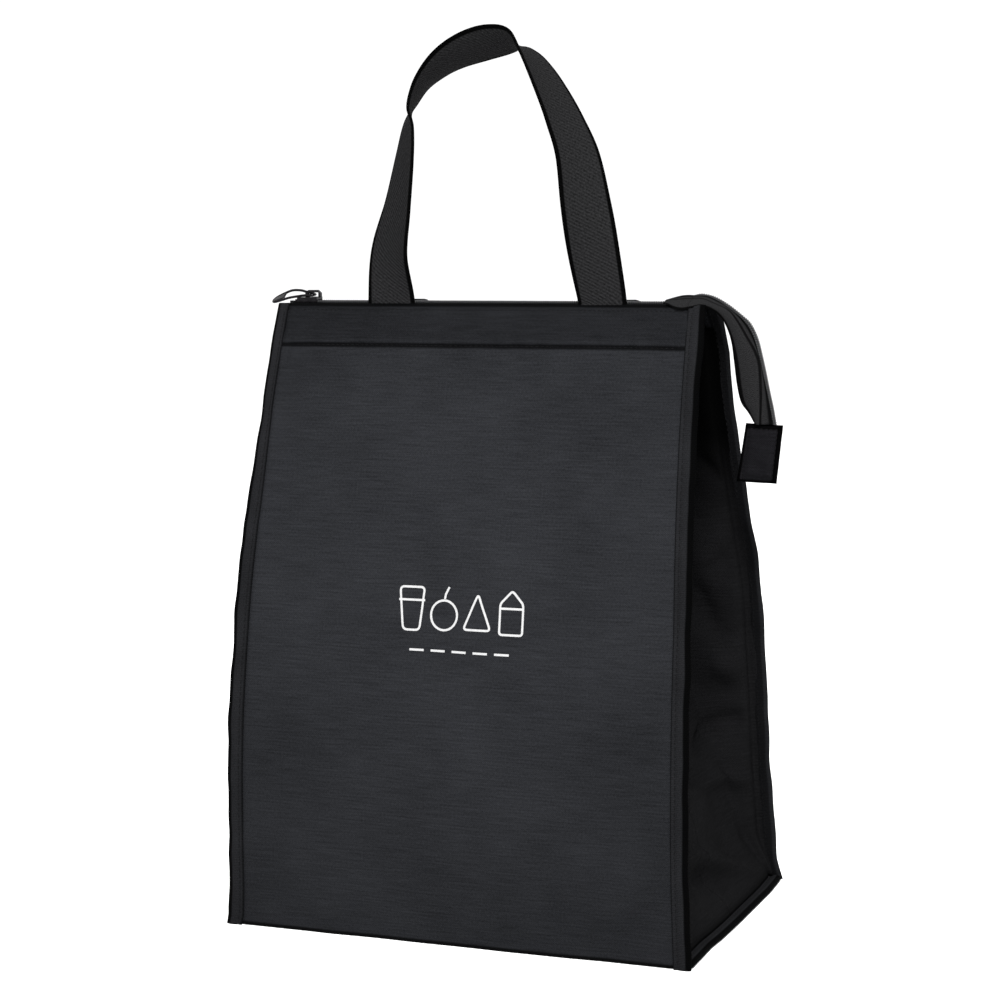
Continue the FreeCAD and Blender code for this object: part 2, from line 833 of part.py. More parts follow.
def handle_end(name, side):
    """The end of the strap that is sewn into the hem between the fabric and its facing."""
    body = new_body(name)
    band = new_sketch(body, "YZ_Plane")
    outer = depth_in(FABRIC, GAP)
    bow_band(band, outer, minus(outer, WEBBING), "Sizes.handle_end_low", "Sizes.handle_foot - 0.4")
    pad(body, band, "Sizes.bag_width")
    outline = new_sketch(body, "XZ_Plane")
    wall_frame(outline)
    middle = f"Sizes.handle_centre {side} Sizes.handle_spread / 2"
    left = f"{middle} - Sizes.webbing_width / 2"
    right = f"{middle} + Sizes.webbing_width / 2"
    low, high = "Sizes.bag_height / 2", "Sizes.bag_height + 10"
    polygon(outline, [(left, low), (right, low), (right, high), (left, high)])
    cut_through(body, outline)


handle_end("front_handle_end_left", "-")
handle_end("front_handle_end_right", "+")
mirrored("back_handle_end_left", "front_handle_end_left", FRONT_TO_BACK)
mirrored("back_handle_end_right", "front_handle_end_right", FRONT_TO_BACK)

# ---------------------------------------------------------------- checks and export

doc.recompute()
for item in doc.Objects:
    if "Invalid" in item.State or "Error" in item.State:
        raise RuntimeError(f"{item.Label} did not recompute: {item.State}")
os.makedirs("parts", exist_ok=True)
for name, item in PARTS.items():
    shape = item.Shape
    if shape.isNull() or not shape.isValid() or not shape.Solids:
        raise RuntimeError(f"{name} has no valid solid")
    shape.exportStep(f"parts/{name}.step")
print(len(PARTS), "parts written")
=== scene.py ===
"""Soft insulated lunch bag: its looks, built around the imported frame.

Shapes are worked out in millimetres and stored in metres. The front faces -Y and +Z is up.
"""

import math

import bpy
import numpy as np
from mathutils import Matrix, Vector, noise


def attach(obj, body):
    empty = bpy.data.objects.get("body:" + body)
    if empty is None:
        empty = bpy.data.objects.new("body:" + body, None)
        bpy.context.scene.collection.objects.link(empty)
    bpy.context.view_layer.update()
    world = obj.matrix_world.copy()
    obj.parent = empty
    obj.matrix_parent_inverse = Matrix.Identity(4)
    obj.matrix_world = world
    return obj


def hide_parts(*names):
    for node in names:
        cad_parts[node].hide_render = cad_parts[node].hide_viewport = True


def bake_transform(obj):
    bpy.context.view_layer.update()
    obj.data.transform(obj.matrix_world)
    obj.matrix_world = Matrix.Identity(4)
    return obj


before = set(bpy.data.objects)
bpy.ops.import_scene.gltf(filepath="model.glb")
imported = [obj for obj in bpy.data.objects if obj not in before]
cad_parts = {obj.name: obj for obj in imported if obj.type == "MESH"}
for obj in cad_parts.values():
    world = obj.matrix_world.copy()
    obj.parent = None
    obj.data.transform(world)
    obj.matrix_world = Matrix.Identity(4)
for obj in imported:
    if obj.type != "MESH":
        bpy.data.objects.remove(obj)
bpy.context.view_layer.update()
scene = bpy.context.scene

MM = 0.001
# Seen from the side, each big wall is an arc: its radius, and how far behind the middle its centre is.
BOW = 792.0
BOW_CENTRE = 712.0
# Half the width at the floor, and how much of it goes for each millimetre of height.
HALF_WIDTH = 130.0
TAPER = 8.5 / 330.0
# The heights of the hem's top edge, and of the seam that holds the hem down.
TOP = 330.0
STEM = 308.5
RIGHT, LEFT = 1, -1
FRONT, BACK = 1, -1
SIDE_NAMES = {RIGHT: "right", LEFT: "left"}
WALL_NAMES = {FRONT: "front", BACK: "back"}

# ---------------------------------------------------------------- camera, floor and light


def make_camera():
    """The camera that a fit to the bag's corners and edges gave."""
    yaw, pitch, roll = (math.radians(a) for a in (21.772, 9.324, -1.708))
    ahead = Vector(
        (-math.sin(yaw) * math.cos(pitch), math.cos(yaw) * math.cos(pitch), -math.sin(pitch))
    )
    level = ahead.cross(Vector((0, 0, 1))).normalized()
    upright = level.cross(ahead)
    right = level * math.cos(roll) + upright * math.sin(roll)
    up = upright * math.cos(roll) - level * math.sin(roll)
    data = bpy.data.cameras.new("camera")
    data.lens, data.sensor_width = 91.98, 36.0
    data.clip_start, data.clip_end = 0.02, 60.0
    camera = bpy.data.objects.new("camera", data)
    turn = Matrix((right, up, -ahead)).transposed().to_4x4()
    camera.matrix_world = Matrix.Translation((0.504, -1.2565, 0.4461)) @ turn
    scene.collection.objects.link(camera)
    scene.camera = camera


def area_light(name, place, target, size, power):
    data = bpy.data.lights.new(name, "AREA")
    data.shape, data.size, data.energy = "DISK", size, power
    light = bpy.data.objects.new(name, data)
    light.location = place
    light.rotation_mode = "QUATERNION"
    aim = Vector(target) - Vector(place)
    light.rotation_quaternion = aim.to_track_quat("-Z", "Y")
    scene.collection.objects.link(light)


def make_studio():
    world = bpy.data.worlds.new("studio")
    world.use_nodes = True
    background = world.node_tree.nodes["Background"]
    background.inputs["Color"].default_value = (1, 1, 1, 1)
    background.inputs["Strength"].default_value = 1.08
    scene.world = world
    area_light("key", (0.8, -2.0, 2.2), (0, 0, 0.18), 0.8, 190)
    area_light("top", (0.3, -0.2, 2.2), (0, 0, 0.1), 1.2, 20)
    scene.view_settings.view_transform = "Standard"


# ---------------------------------------------------------------- material nodes


class Shade:
    """One node material: a Principled shader, and short ways to feed it."""

    def __init__(self, name, color, rough, specular=0.2, metallic=0.0):
        self.material = bpy.data.materials.new(name)
        self.material.use_nodes = True
        self.tree = self.material.node_tree
        self.shader = self.tree.nodes["Principled BSDF"]
        self.color = color
        for socket, value in (
            ("Roughness", rough), ("Specular IOR Level", specular), ("Metallic", metallic)
        ):
            self.shader.inputs[socket].default_value = value
        lay = self.add("ShaderNodeAttribute")
        lay.attribute_name = "lay"
        self.lay = lay.outputs["Vector"]
        self.along = self.add("ShaderNodeSeparateXYZ", self.lay)

    def add(self, kind, *values, **settings):
        node = self.tree.nodes.new(kind)
        for key, setting in settings.items():
            setattr(node, key, setting)
        for socket, value in zip(node.inputs, values):
            if isinstance(value, bpy.types.NodeSocket):
                self.tree.links.new(value, socket)
            else:
                socket.default_value = value
        return node

    def math(self, operation, *values):
        return self.add("ShaderNodeMath", *values, operation=operation).outputs[0]

    def ripple(self, axis, period, phase=0.0):
        """A wave along one axis of the cloth, from -1 to 1."""
        coordinate = self.along.outputs[axis]
        turned = self.math("MULTIPLY_ADD", coordinate, 2 * math.pi / period, phase)
        return self.math("SINE", turned)

    def texture(self, kind, vector, stretch, **values):
        """A texture node over a vector that is stretched along its axes."""
        scaled = self.add("ShaderNodeMapping", vector)
        scaled.inputs["Scale"].default_value = tuple(np.broadcast_to(np.array(stretch, float), 3))
        made = self.add(kind)
        self.tree.links.new(scaled.outputs[0], made.inputs["Vector"])
        for socket, value in {"Scale": 1.0, **values}.items():
            made.inputs[socket].default_value = value
        return made

    def blotch(self, stretch, detail=3.0, rough=0.6, vector=None):
        """Noise from 0 to 1, over the cloth or over another vector."""
        made = self.texture(
            "ShaderNodeTexNoise",
            self.lay if vector is None else vector,
            stretch,
            Detail=detail,
            Roughness=rough,
        )
        return made.outputs["Fac"]

    def place(self):
        """Where a point is on a piece that has no cloth coordinates, in metres."""
        return self.add("ShaderNodeTexCoord").outputs["Object"]

    def paint(self, factor, dark, light):
        """Base colour: the piece's own, scaled between two shares."""
        ramp = self.add("ShaderNodeValToRGB", factor)
        low, high = ramp.color_ramp.elements
        low.color = (*(c * dark for c in self.color), 1)
        high.color = (*(c * light for c in self.color), 1)
        low.position, high.position = 0.25, 0.75
        self.tree.links.new(ramp.outputs[0], self.shader.inputs["Base Color"])

    def spread(self, *values):
        """A value mapped from one range onto another: value, from low and high, to low and high."""
        return self.add("ShaderNodeMapRange", *values).outputs[0]

    def band(self, axis, low, high):
        """0 before a place along one axis of the cloth and 1 after it. Runs down if high is lower."""
        return self.spread(self.along.outputs[axis], low, high, 0.0, 1.0)

    def line(self, axis, place, half):
        """1 on a narrow line across one axis of the cloth and 0 beside it."""
        away = self.math("ABSOLUTE", self.math("SUBTRACT", self.along.outputs[axis], place))
        return self.spread(away, half * 1.5, half * 0.6, 0.0, 1.0)

    def darken(self, mask, share):
        """Takes away a share of the base colour where the mask is 1."""
        base = self.shader.inputs["Base Color"]
        left = self.math("MULTIPLY_ADD", mask, -share, 1.0)
        scaled = self.add("ShaderNodeVectorMath", base.links[0].from_socket, operation="SCALE")
        self.tree.links.new(left, scaled.inputs["Scale"])
        self.tree.links.new(scaled.outputs[0], base)

    def vary_roughness(self, factor, low, high):
        self.tree.links.new(self.spread(factor, 0.2, 0.8, low, high), self.shader.inputs["Roughness"])

    def bump(self, height, depth, strength=1.0):
        """Raises the surface by a height from -1 to 1 times a depth in millimetres."""
        made = self.add("ShaderNodeBump")
        made.inputs["Strength"].default_value = strength
        made.inputs["Distance"].default_value = depth * MM
        self.tree.links.new(height, made.inputs["Height"])
        normal = self.shader.inputs["Normal"]
        if normal.is_linked:
            self.tree.links.new(normal.links[0].from_socket, made.inputs["Normal"])
        self.tree.links.new(made.outputs[0], normal)


def woven(name, color, rough, specular, shadows=(), seam_shadows=()):
    """Plain-woven cloth with uneven yarns and faint streaks, with painted shade towards edges and painted
    shadow lines in seams.
    """
    shade = Shade(name, color, rough, specular)
    yarns = shade.math("MULTIPLY", shade.ripple(0, 1.25), shade.ripple(1, 1.0))
    rows = shade.ripple(1, 2.0)
    slubs = shade.blotch((0.05, 1.1, 0.3), 4.0)
    grain = shade.blotch(0.9, 2.0)
    cloudy = shade.blotch((0.012, 0.014, 0.012), 3.0)
    mixed = shade.math("MULTIPLY_ADD", slubs, 0.55, shade.math("MULTIPLY", cloudy, 0.45))
    speckled = shade.math("MULTIPLY_ADD", grain, 0.35, shade.math("MULTIPLY", mixed, 0.75))
    shade.paint(speckled, 0.25, 2.1)
    # Painted shade: each band and each seam line takes away a share of the base colour.
    for axis, low, high, share in shadows:
        shade.darken(shade.band(axis, low, high), share)
    for axis, place, half, share in seam_shadows:
        shade.darken(shade.line(axis, place, half), share)
    shade.vary_roughness(slubs, rough - 0.08, min(1.0, rough + 0.08))
    height = shade.math("ADD", yarns, shade.math("MULTIPLY", rows, 0.35))
    uneven = shade.math("MULTIPLY_ADD", slubs, 1.6, height)
    shade.bump(uneven, 0.1)
    shade.bump(cloudy, 0.9, 0.6)
    return shade.material


def ribbed(name, color, rough):
    """Narrow binding tape: fine ribs across it, a twill over them, and painted shade along both its edges.
    """
    shade = Shade(name, color, rough, 0.01)
    ribs = shade.ripple(1, 0.9)
    twill = shade.add("ShaderNodeVectorMath", shade.lay, (5.2, 3.1, 0.0), operation="DOT_PRODUCT")
    lines = shade.math("SINE", twill.outputs["Value"])
    fuzz = shade.blotch(1.3, 3.0)
    cloudy = shade.blotch(0.03, 3.0)
    shade.paint(shade.math("MULTIPLY_ADD", fuzz, 0.6, shade.math("MULTIPLY", cloudy, 0.4)), 0.4, 1.7)
    # Painted shade where the tape folds over the outer edge, and a lighter painted shade along its inner
    # edge beside the wall.
    shade.darken(shade.band(0, 3.2, 2.4), 0.93)
    shade.darken(shade.band(0, 8.4, 8.9), 0.5)
    shade.vary_roughness(fuzz, rough - 0.1, rough + 0.08)
    height = shade.math("MULTIPLY_ADD", lines, 0.5, ribs)
    shade.bump(shade.math("MULTIPLY_ADD", fuzz, 0.8, height), 0.08)
    return shade.material


def webbed(name, color):
    """Strap webbing: slanting ribs across it, a fine twill, and a darker band painted along both edges."""
    shade = Shade(name, color, 0.8, 0.01)
    across, along = shade.along.outputs[0], shade.along.outputs[1]
    slant = shade.math("MULTIPLY_ADD", across, 2.2, shade.math("MULTIPLY", along, 3.1))
    ribs = shade.math("SINE", slant)
    lines = shade.ripple(0, 1.0)
    edge = shade.math("ABSOLUTE", across)
    dark_edge_band = shade.spread(edge, 10.9, 11.5, 0.0, 1.0)
    fuzz = shade.blotch(0.9, 3.0)
    shade.paint(shade.math("MULTIPLY_ADD", ribs, 0.08, fuzz), 0.35, 1.7)
    # A darker band painted along both edges of the strap.
    shade.darken(dark_edge_band, 0.96)
    shade.vary_roughness(fuzz, 0.7, 0.88)
    height = shade.math("MULTIPLY_ADD", lines, 0.3, shade.math("MULTIPLY_ADD", fuzz, 1.2, ribs))
    shade.bump(height, 0.11)
    return shade.material


def herringbone(name, color):
    """Zip tape: slanting lines that turn back at each narrow stripe, with painted shade along both edges and
    in its fold.
    """
    shade = Shade(name, color, 0.8, 0.015)
    stripe = shade.math("PINGPONG", shade.along.outputs[1], 1.3)
    slant = shade.math("MULTIPLY_ADD", stripe, 5.0, shade.math("MULTIPLY", shade.along.outputs[0], 5.5))
    lines = shade.math("SINE", slant)
    fuzz = shade.blotch(1.2, 3.0)
    shade.paint(shade.math("MULTIPLY_ADD", lines, 0.12, fuzz), 0.5, 1.6)
    # Painted shadow lines: along the far edge, along the edge at the coil, and in the fold.
    shade.darken(shade.band(1, 12.7, 13.3), 0.93)
    shade.darken(shade.band(1, 2.2, 1.3), 0.9)
    shade.darken(shade.math("SUBTRACT", shade.band(1, 4.3, 4.7), shade.band(1, 5.4, 5.9)), 0.85)
    shade.bump(shade.math("MULTIPLY_ADD", fuzz, 0.9, lines), 0.06)
    return shade.material


def mottled(name, color, rough, specular, grain, shares, spread, depth, metallic=0.0, brushing=None):
    """Metal, plastic or thread: blotchy colour, and roughness and bumps from its grain."""
    shade = Shade(name, color, rough, specular, metallic)
    place = shade.place()
    blotches = shade.blotch(*grain, vector=place)
    fine = shade.blotch(brushing, vector=place) if brushing else blotches
    shade.paint(blotches, *shares)
    shade.vary_roughness(fine, rough - spread[0], rough + spread[1])
    shade.bump(fine, depth)
    return shade.material


def crinkled_film(name):
    """Silvered lining film with pressed creases and a faint welded grid."""
    shade = Shade(name, (0.62, 0.63, 0.65), 0.28, 0.5, metallic=0.85)
    cells = shade.texture("ShaderNodeTexVoronoi", shade.lay, 0.07)
    cells.feature = "DISTANCE_TO_EDGE"
    fine = shade.blotch(0.16, 6.0, 0.7)
    shade.paint(fine, 0.8, 1.15)
    shade.vary_roughness(fine, 0.2, 0.42)
    creases = shade.math("MINIMUM", cells.outputs["Distance"], 0.12)
    shade.bump(shade.math("MULTIPLY_ADD", creases, 6.0, fine), 0.9)
    return shade.material


def printed(name):
    """Screen print that lets a little of the weave through."""
    shade = Shade(name, (0.29, 0.29, 0.29), 0.6, 0.1)
    weave = shade.math("MULTIPLY", shade.ripple(0, 1.1), shade.ripple(1, 0.9))
    worn = shade.blotch(0.8, 4.0)
    shade.paint(worn, 0.78, 1.05)
    shade.vary_roughness(worn, 0.5, 0.75)
    shade.bump(weave, 0.05)
    return shade.material


def pale_floor(name):
    shade = Shade(name, (0.93, 0.93, 0.93), 0.7, 0.2)
    shade.paint(shade.blotch(2, 2.0, vector=shade.place()), 0.99, 1.01)
    return shade.material


# Painted shadows: axis on the cloth, where it starts to darken, where it is full, share taken away.
# Painted shade on the wall cloth: darker along its foot and top edge, over its lower part, on the hem,
# towards both sides and over its upper part; a painted shadow line along the seam under the hem.
SHELL = woven(
    "shell_fabric", (0.0070, 0.0073, 0.0083), 0.82, 0.015,
    ((1, 3.2, 2.0, 0.9), (1, 328.0, 328.8, 0.85), (1, 150, 8, 0.24), (1, 307, 313, 0.34),
        (0, 40, 118, 0.14), (0, -40, -118, 0.12), (1, 230, 300, 0.10)),
    ((1, STEM, 1.1, 0.8),),
)
# The gusset is the walls' cloth given a darker colour as painted shade, with more painted shade towards its
# top and its foot.
GUSSET_SHADED_CLOTH = woven(
    "gusset_fabric", (0.0026, 0.0026, 0.0028), 0.86, 0.01, ((1, 195, 258, 0.95), (1, 8, 3, 0.6))
)
TAB_CLOTH = woven(
    "tab_fabric", (0.0031, 0.0030, 0.0035), 0.84, 0.01,
    ((0, 2.0, 1.4, 0.92), (0, 17.6, 18.2, 0.92), (1, 1.9, 1.4, 0.92), (1, 27.6, 28.2, 0.85)),
)
BINDING = ribbed("binding_tape", (0.0056, 0.0057, 0.0063), 0.82)
WEBBING = webbed("webbing", (0.0073, 0.0073, 0.0076))
TAPE = herringbone("zip_tape", (0.0074, 0.0074, 0.0077))
COIL = mottled("zip_coil", (0.006, 0.006, 0.007), 0.38, 0.4, (900,), (0.7, 1.5), (0.06, 0.12), 0.04)
METAL = mottled(
    "zip_metal", (0.011, 0.0105, 0.0115), 0.26, 0.5, (420, 4.0), (0.75, 1.5), (0.08, 0.14), 0.03,
    metallic=1.0, brushing=(300, 5000, 2500),
)
FILM = crinkled_film("silver_lining")
PRINT = printed("white_print")
THREAD = mottled(
    "thread", (0.0022, 0.0022, 0.0025), 0.6, 0.05, (3000, 2.0), (0.7, 1.4), (0.1, 0.15), 0.05
)

# ---------------------------------------------------------------- mesh helpers


def unit(vectors, axis=-1):
    return vectors / np.linalg.norm(vectors, axis=axis, keepdims=True)


def grid(*axes):
    """Points from arrays or numbers for x, y and z."""
    return np.stack(np.broadcast_arrays(*axes), -1)


def run_length(points):
    """How far along a line each of its points lies."""
    return np.r_[0, np.cumsum(np.linalg.norm(np.diff(points, axis=0), axis=1))]


def settle(made, slot, body=None, stands_for=()):
    """Says which CAD nodes a piece replaces and what it rides on. The slot is not used."""
    if stands_for:
        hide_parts(*stands_for)
    if body:
        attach(made, body)
    return made


def mesh_object(name, points, faces, material, lay=None):
    """A smooth mesh from points in millimetres. Lay holds where each point sits on the flat cloth."""
    mesh = bpy.data.meshes.new(name)
    mesh.from_pydata((np.asarray(points, float) * MM).tolist(), [], faces)
    mesh.materials.append(material)
    mesh.polygons.foreach_set("use_smooth", [True] * len(mesh.polygons))
    if lay is not None:
        attribute = mesh.attributes.new("lay", "FLOAT_VECTOR", "POINT")
        attribute.data.foreach_set("vector", np.array(lay, np.float32).ravel())
    mesh.update()
    made = bpy.data.objects.new(name, mesh)
    scene.collection.objects.link(made)
    return made


def grid_faces(rows, columns, first=0, around=False):
    """Quads over a grid of points. Around joins the last column to the first."""
    faces = []
    for row in range(rows - 1):
        for column in range(columns if around else columns - 1):
            following = (column + 1) % columns
            low, high = first + row * columns, first + (row + 1) * columns
            faces.append((low + column, low + following, high + following, high + column))
    return faces


def closed_shell(name, outer, inner, lay, material):
    """A solid sheet between two grids of points, joined all round its rim."""
    rows, columns = outer.shape[:2]
    count = rows * columns
    faces = grid_faces(rows, columns)
    faces += [face[::-1] for face in grid_faces(rows, columns, count)]
    rim = list(range(columns))
    rim += [row * columns + columns - 1 for row in range(1, rows)]
    rim += [(rows - 1) * columns + column for column in range(columns - 2, -1, -1)]
    rim += [row * columns for row in range(rows - 2, 0, -1)]
    for here, there in zip(rim, rim[1:] + rim[:1]):
        faces.append((there, here, here + count, there + count))
    points = np.concatenate([outer.reshape(-1, 3), inner.reshape(-1, 3)])
    cloth = np.concatenate([lay.reshape(-1, 3)] * 2)
    return outwards(mesh_object(name, points, faces, material, cloth))


def ring_faces(rows, columns, first=0, looped=False):
    """Faces of a tube of rings, closed at both ends or joined into a loop."""
    if looped:
        count = rows * columns
        faces = grid_faces(rows + 1, columns, around=True)
        return [tuple(first + corner % count for corner in face) for face in faces]
    last = first + (rows - 1) * columns
    ends = [tuple(range(first, first + columns))[::-1], tuple(range(last, last + columns))]
    return grid_faces(rows, columns, first, around=True) + ends


def tube(name, rings, material, lay=None, looped=False):
    """A tube through equal rings of points."""
    rings = np.asarray(rings, float)
    faces = ring_faces(*rings.shape[:2], looped=looped)
    lay = None if lay is None else np.reshape(lay, (-1, 3))
    return outwards(mesh_object(name, rings.reshape(-1, 3), faces, material, lay))


def wire(line, first, second, radius, sides):
    """Round rings about a line, for two directions square to it."""
    angles = np.arange(sides) * 2 * math.pi / sides
    spokes = np.cos(angles)[:, None] * first[:, None] + np.sin(angles)[:, None] * second[:, None]
    return line[:, None] + radius * spokes


def outwards(made):
    """Turns the faces so that they point out of the closed mesh."""
    mesh = made.data
    mesh.calc_loop_triangles()
    corners = np.zeros(len(mesh.loop_triangles) * 3, np.int64)
    mesh.loop_triangles.foreach_get("vertices", corners)
    place = np.zeros(len(mesh.vertices) * 3)
    mesh.vertices.foreach_get("co", place)
    a, b, c = place.reshape(-1, 3)[corners.reshape(-1, 3)].transpose(1, 0, 2)
    if np.einsum("ij,ij->", a, np.cross(b, c)) < 0:
        mesh.flip_normals()
    return made


def smooth_noise(x, y, z=0.0):
    """Repeatable noise at arrays of places, about -1 to 1."""
    x, y = np.broadcast_arrays(np.asarray(x, float), np.asarray(y, float))
    values = [noise.noise(Vector((a, b, z))) for a, b in zip(x.ravel(), y.ravel())]
    return np.array(values).reshape(x.shape) * 1.7


def ease(value, low, high):
    """0 below low, 1 above high, smooth between."""
    part = np.clip((np.asarray(value, float) - low) / (high - low), 0, 1)
    return part * part * (3 - 2 * part)


def bell(value, centre, width):
    return np.exp(-(((value - centre) / width) ** 2))


def crease(u, v, start, end, width, height):
    """A soft ridge, or with a negative height a fold, along a line that fades at its ends."""
    start, end = np.array(start, float), np.array(end, float)
    run = end - start
    length = np.hypot(*run)
    du, dv = u - start[0], v - start[1]
    along = (du * run[0] + dv * run[1]) / length**2
    aside = (du * run[1] - dv * run[0]) / length
    return height * bell(aside, 0, width) * ease(along, -0.15, 0.3) * ease(-along, -1.15, -0.7)


def levels(stops):
    """Values that run through pairs of (end, step), from the first end."""
    values = [stops[0][0]]
    for (low, _), (high, step) in zip(stops, stops[1:]):
        count = max(1, round((high - low) / step))
        values += list(low + (high - low) * (np.arange(count) + 1) / count)
    return np.array(values)


def stitches(name, centres, out, pitch, body):
    """A row of short thread stitches along a line, for a direction out of the cloth."""
    centres, out = np.asarray(centres, float), np.array(out, float)
    steps = run_length(centres)
    radius, length = 0.18, pitch * 0.72
    points, faces = [], []
    ring = [(math.cos(a), math.sin(a)) for a in np.arange(6) * math.pi / 3]
    for place in np.arange(pitch * 0.5, steps[-1], pitch):
        middle, ahead, behind = (
            np.array([np.interp(at, steps, centres[:, axis]) for axis in range(3)])
            for at in (place, place + 0.1, place - 0.1)
        )
        run = unit(ahead - behind)
        up = unit(out - run * (out @ run))
        aside = np.cross(run, up)
        first = len(points)
        for part, size, lift in ((-0.5, 0.3, -0.35), (-0.28, 1, 0.1), (0.28, 1, 0.1), (0.5, 0.3, -0.35)):
            centre = middle + run * (part * length) + up * (lift * radius * 2)
            points += [centre + (up * s * 0.8 + aside * c) * radius * size for c, s in ring]
        faces += ring_faces(4, 6, first)
    settle(outwards(mesh_object(name, points, faces, THREAD)), "binding_tape", body)


# ---------------------------------------------------------------- walls


# How far each upright edge stands out of its straight line, at heights above the floor.
SWELL = {
    (FRONT, LEFT): (
        (0, 3.0), (6, 1.4), (22, 1), (54, 1.5), (86, 2.5), (118, 3), (183, 3), (215, 2.4), (240, 1), (270, 0)
    ),
    (FRONT, RIGHT): ((0, 0), (60, 0.3), (120, 1.2), (170, 1.8), (222, 1), (275, 0.3), (330, 0)),
    (BACK, RIGHT): (
        (0, 4.5), (6, 3), (12, 1.8), (30, 1.1), (65, 0.6), (100, 1.5), (135, 2.5), (152, 3.4),
        (170, 4.2), (187, 3.4), (222, 2), (257, 1.5), (275, 1.5), (293, 2.6), (303, 3.6),
        (318, 3.4), (326, 2.2), (330, 1.3),
    ),
}
SWELL[BACK, LEFT] = SWELL[FRONT, LEFT]
TAPE_WIDTH = {
    (FRONT, RIGHT): ((0, 9.3), (330, 9.3)),
    (FRONT, LEFT): ((0, 9.2), (225, 9.0), (275, 6.6), (330, 6.8)),
    (BACK, RIGHT): ((0, 7.4), (330, 7.0)),
    (BACK, LEFT): ((0, 9.0), (330, 7.4)),
}
WIDEST = 9.3
FRONT_FEET, BACK_FEET = (-54.4, 64.9), (-53.2, 66.8)


def tape_width(height, wall, side):
    """How wide the binding tape of one upright edge is at a height."""
    return np.interp(height, *np.transpose(TAPE_WIDTH[wall, side]))


def half_width(height, wall, side):
    """Half the width of a wall at a height, towards the side whose sign is given."""
    left, right = (np.interp(height, *np.transpose(SWELL[wall, one])) for one in (LEFT, RIGHT))
    return HALF_WIDTH - TAPER * np.asarray(height, float) + np.where(np.asarray(side) > 0, right, left)


def wall_y(height, depth=0.0):
    """Where the front wall stands at a height, some way in from its outer face."""
    return BOW_CENTRE - np.sqrt((BOW - depth) ** 2 - np.asarray(height, float) ** 2)


# Creases in each wall: from (x, z), to (x, z), width, and height or with a minus depth.
CREASES = {
    FRONT: (
        ((118, 128), (52, 112), 5, 1.9), ((120, 108), (60, 92), 6, -1.7), ((121, 58), (70, 14), 7, 2.2),
        ((121, 38), (84, 4), 5, -1.7), ((116, 290), (40, 262), 9, 1.0), ((-118, 140), (-50, 168), 8, -1.0),
        ((-121, 52), (-70, 8), 7, 1.2), ((-118, 232), (-30, 206), 12, 0.9), ((10, 66), (110, 80), 7, 0.9),
        ((-40, 40), (60, 22), 9, -1.0),
    ),
    BACK: (
        ((-118, 90), (-60, 70), 8, 0.8), ((118, 46), (80, 8), 7, 0.8), ((0, 60), (80, 90), 12, -0.7),
    ),
}


def wall_relief(x, z, wall):
    """How far the cloth of a wall stands out of the plain arc at each place."""
    inset = half_width(z, wall, x) - np.abs(x)
    inset += WIDEST - np.where(x > 0, tape_width(z, wall, RIGHT), tape_width(z, wall, LEFT))
    seed = 3.1 if wall == FRONT else 17.4
    # Slow waves and a soft bulge, which die out towards the bindings.
    relief = smooth_noise(x * 0.011, z * 0.010, seed)
    relief += 0.42 * smooth_noise(x * 0.035, z * 0.024, seed + 5)
    relief += 0.16 * smooth_noise(x * 0.02, z * 0.13, seed + 7)
    relief *= ease(inset, 9, 34)
    relief += 1.1 * ease(inset, 10, 60) * ease(z, 0, 60) * ease(-z, -300, -230)
    relief -= 0.6 * bell(inset, 9.4, 0.9)
    # The seam under the hem, with the puckers beside it, and the hem above.
    pucker = smooth_noise(x * 0.11 + z * 0.03, z * 0.02, seed + 9)
    fine = smooth_noise(x * 0.30, z * 0.05, seed + 12)
    relief -= 1.4 * bell(z, STEM, 1.35) * ease(inset, 12, 17)
    relief += (0.8 * pucker + 0.4 * fine) * (bell(z, STEM - 3.5, 6.0) + bell(z, STEM + 4, 3.5))
    slant = smooth_noise(x * 0.055 - z * 0.05, z * 0.055, seed + 2)
    relief += (0.6 + 1.0 * slant) * ease(z, 311, 316) * ease(-z, -329, -323)
    relief -= 0.6 * bell(z, 326.8, 0.9)
    for start, end, width, height in CREASES[wall]:
        relief += crease(x, z, start, end, width, height)
    # The strap ends, which press through from inside the hem.
    for middle in BACK_FEET:
        strap = ease(x, middle - 15.5, middle - 12) * ease(-x, -middle - 15.5, -middle - 12)
        relief += 0.45 * strap * ease(z, 314, 319)
    # The rounded foot and top edge, and the dip where the binding lies.
    corner = np.clip(1 - (z - 0.2) / 4.0, 0, 1)
    relief -= 2.0 * (1 - np.sqrt(1 - corner**2 * 0.96))
    lip = np.clip(1 - (TOP - z) / 1.6, 0, 1)
    relief -= 1.3 * (1 - np.sqrt(1 - lip**2 * 0.98))
    relief = relief * ease(inset, 5, 9) - 0.7 * (1 - ease(inset, 8.2, 9.6))
    return np.maximum(relief, -1.6 - 8 * ease(inset, 12, 16) - 3 * (z < 6) - 3 * (z > 327))


WALL_Z = levels([(0.2, 0), (5, 0.6), (300, 2.6), (305, 1.0), (312, 0.45), (324, 1.2), (330, 0.5)])
WALL_SHARE = np.r_[np.linspace(-1, -0.9, 14), np.linspace(-0.9, 0.9, 101)[1:-1], np.linspace(0.9, 1, 14)]


